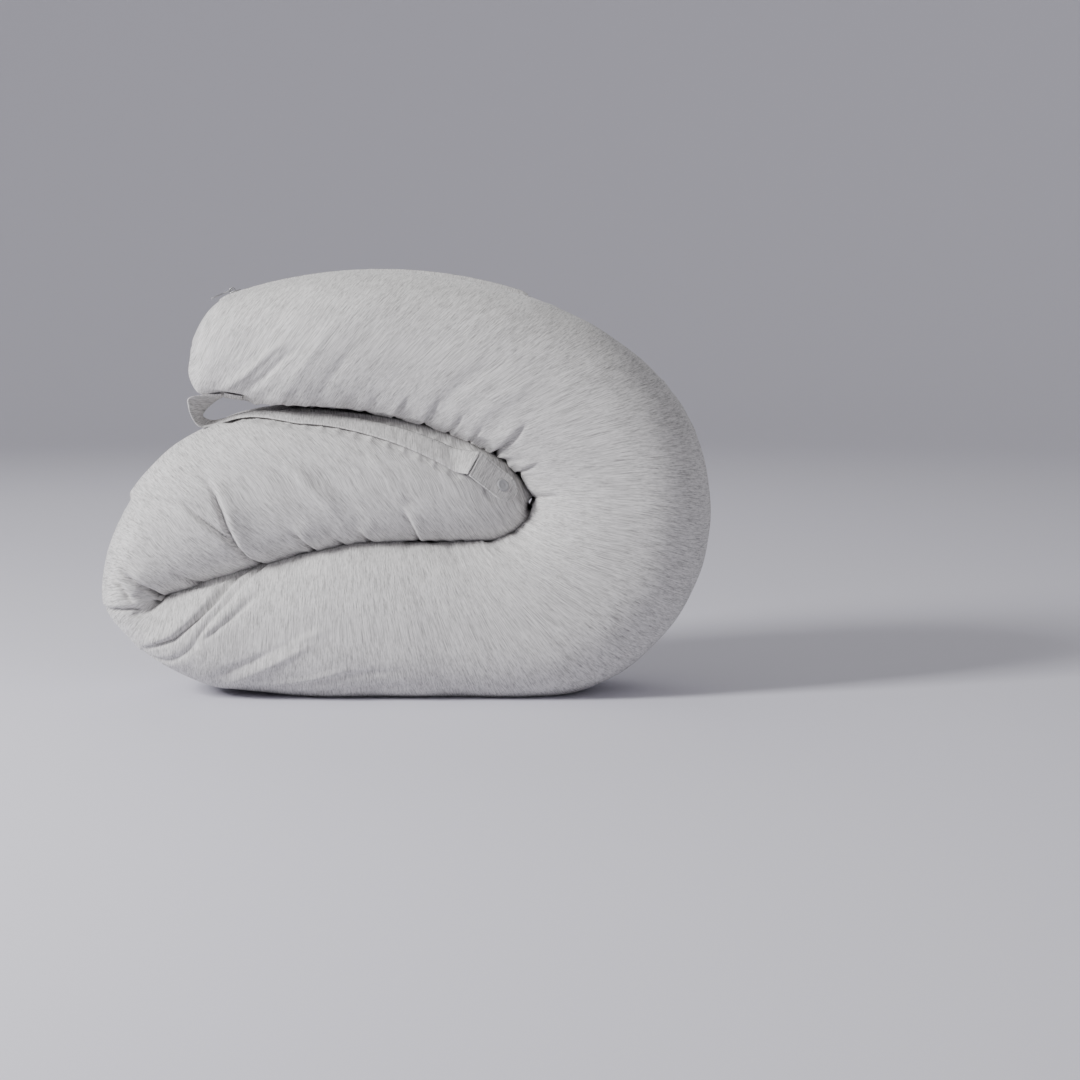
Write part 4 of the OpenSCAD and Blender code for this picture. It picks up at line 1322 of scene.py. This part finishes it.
slider_metal = metal_paint()
slider_frame = Matrix.Translation((crown_x, zip_y, crown_z))
slider_frame @= Matrix.Rotation(math.radians(slider_turn), 4, "Y")
slider_frame @= Matrix.Translation((0, 0, zip_r))


def cut_plate(outline, holes, low, high, edge):
    """A flat plate with holes and rounded edges, in millimetres. Gives its points and faces."""
    bm = bmesh.new()
    loops = []
    for line in (outline, *holes):
        corners = [bm.verts.new((x, y, low)) for x, y in line]
        loops += [bm.edges.new((a, b)) for a, b in zip(corners, corners[1:] + corners[:1])]
    bmesh.ops.triangle_fill(bm, use_beauty=True, use_dissolve=False, edges=loops)
    raised = bmesh.ops.extrude_face_region(bm, geom=bm.faces[:])["geom"]
    for v in raised:
        if isinstance(v, bmesh.types.BMVert):
            v.co.z = high
    bmesh.ops.recalc_face_normals(bm, faces=bm.faces[:])
    sharp = [e for e in bm.edges if len(e.link_faces) == 2 and e.calc_face_angle() > 1.2]
    bmesh.ops.bevel(bm, geom=sharp, offset=edge, segments=3, profile=0.5, affect="EDGES",
                    clamp_overlap=True)
    bmesh.ops.triangulate(bm, faces=[f for f in bm.faces if len(f.verts) > 4])
    bm.verts.index_update()
    result = np.array([v.co[:] for v in bm.verts]), [[v.index for v in f.verts] for f in bm.faces]
    bm.free()
    return result


def rounded_box(x0, x1, y0, y1, r, steps=5):
    centres = ((x1 - r, y1 - r, 0), (x0 + r, y1 - r, 1), (x0 + r, y0 + r, 2), (x1 - r, y0 + r, 3))
    corners = [(cx, cy, (q + t / steps) * math.pi / 2) for cx, cy, q in centres for t in range(steps + 1)]
    return [(cx + r * math.cos(turn), cy + r * math.sin(turn)) for cx, cy, turn in corners]


def gathered(parts):
    """Several closed shapes as the points and faces of one piece."""
    points, faces, count = [], [], 0
    for p, f in parts:
        points.append(np.asarray(p, float))
        faces += [[i + count for i in face] for face in f]
        count += len(p)
    return np.concatenate(points), faces


def place_all(points, matrix):
    return np.array([matrix @ Vector(p) for p in points])


inner = coil_w + slider_gap
outer = inner + flange_t
plate_low, plate_high = teeth_top + slider_gap, teeth_top + slider_gap + plate_t
shoulder = [(-slider_l / 2, -0.84 * outer), (-slider_l / 2 + 1.2, -0.97 * outer), (1.5, -outer),
            (slider_l / 2 - 1.4, -outer), (slider_l / 2 - 0.3, -0.8 * outer), (slider_l / 2, -0.45 * outer)]
shoulder += [(x, -y) for x, y in reversed(shoulder)]
parts = [cut_plate(shoulder, [], plate_low, plate_high, 0.3)]
for side in (-1, 1):
    y = side * (inner + flange_t / 2)
    flange = rounded_box(-slider_l / 2 + 0.4, slider_l / 2 - 0.5, y - flange_t / 2, y + flange_t / 2, 0.35)
    parts += [cut_plate(flange, [], tape_t + slider_gap, plate_low + 0.3, 0.15)]
# The bridge that the pull swings under.
bridge_t, bridge_x = 1.1, -2.3
bridge_path = [(-2.5, -0.4), (-2.5, 1.6), (-2.3, 2.7), (-1.6, 3.45), (0, 3.65), (1.6, 3.35), (2.35, 2.4),
               (2.5, 1.2), (2.5, -0.4)]
path = np.array([(bridge_x + x, 0, plate_high + z) for x, z in bridge_path])
way_on = np.gradient(path, axis=0)
points = []
for p, w in zip(path, way_on):
    out_way = np.array([-w[2], 0, w[0]]) / np.linalg.norm(w)
    for t in np.arange(12) * math.tau / 12:
        c, d = (math.copysign(abs(v) ** 0.6, v) for v in (math.cos(t), math.sin(t)))
        points.append(p + bridge_t * (0.5 * c * out_way + 0.55 * d * np.array([0, 1, 0])))
parts.append((points, bar_faces(len(path), 12)))
points, faces = gathered(parts)
slider = object_from("zip_slider", place_all(points, slider_frame), faces, slider_metal)
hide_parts("zip_slider")
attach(slider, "zip_slider")

pull_l, pull_w, pull_t, pull_bar = 24, 7, 1.4, 1.4
pull_frame = slider_frame @ Matrix.Translation((bridge_x, 0, plate_high + 1.8))
pull_frame @= Matrix.Rotation(math.radians(-5), 4, "Y")
slot = bridge_t + 2 * slider_gap
waist = [(x, pull_w / 2 - narrower) for x, narrower in
         [(-0.9, 0), (-5.5, 0), (-8, 0.9), (-11, 1.1), (-15, 0.5), (-18, 0)]]
end = [(-pull_l + 3.5 - 3.5 * math.sin(t), 3.5 * math.cos(t)) for t in np.linspace(0.15, math.pi / 2, 7)]
half_line = waist + end
outline = half_line + [(x, -y) for x, y in reversed(half_line[:-1])]
pull_slot = rounded_box(-6, -pull_bar / 2, -slot / 2, slot / 2, 0.6)
grip_hole = rounded_box(-21.8, -17.2, -1.5, 1.5, 1.4)
parts = [cut_plate(outline, [pull_slot, grip_hole], -pull_t / 2, pull_t / 2 - 0.2, 0.25)]
rim_in = [(x * 0.93 - 0.9, y * 0.72) for x, y in outline]
rim_out = [(x * 0.98 - 0.25, y * 0.92) for x, y in outline]
parts += [cut_plate(rim_out, [rim_in], pull_t / 2 - 0.35, pull_t / 2, 0.1)]
for x in (-9.2, -10.7, -12.2, -13.7):
    grip = rounded_box(x - 0.7, x, -1.7, 1.7, 0.3)
    parts += [cut_plate(grip, [], pull_t / 2 - 0.4, pull_t / 2 - 0.02, 0.1)]
bar_half = [(eps, -pull_w / 2), (0.5, -pull_w / 2), (pull_bar / 2, -pull_w / 2 + 0.2)]
bar, bar_sides = turned(bar_half + [(r, -z) for r, z in reversed(bar_half)], 24)
parts.append((bar[:, [1, 2, 0]], bar_sides))
points, faces = gathered(parts)
pull = object_from("zip_pull", place_all(points, pull_frame), faces, slider_metal)
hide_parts("zip_pull")
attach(pull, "zip_pull")

# ---- Care label -----------------------------------------------------------------------------
# A blank label of white satin ribbon, folded double. Its cut ends are sewn into the cover's outer
# seam, and the fold lies on the cover beside it.

def satin_paint():
    paint = Paint("label_satin", Roughness=0.35, Sheen_Weight=0.3, Anisotropic=0.5)
    place = paint.on_cloth()
    across, along, _ = paint.waves(place, (0.35, 0.35, 0))
    shade = paint.noise(place, (0.15, 1.2, 0), 2, 3.0)
    paint.feed("Base Color", paint.mix(shade, (0.80, 0.80, 0.79), (0.90, 0.90, 0.89)))
    paint.bump(along * 0.6 + across * 0.2, 0.2, 0.0001)
    return paint.material


label, label_top, label_normals, label_long = ribbon(
    "care_label", label_rows, label_w, label_t, 0.5, satin_paint(), step=1.3, cushion=0.1)
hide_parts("care_label")
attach(label, "top_arm")
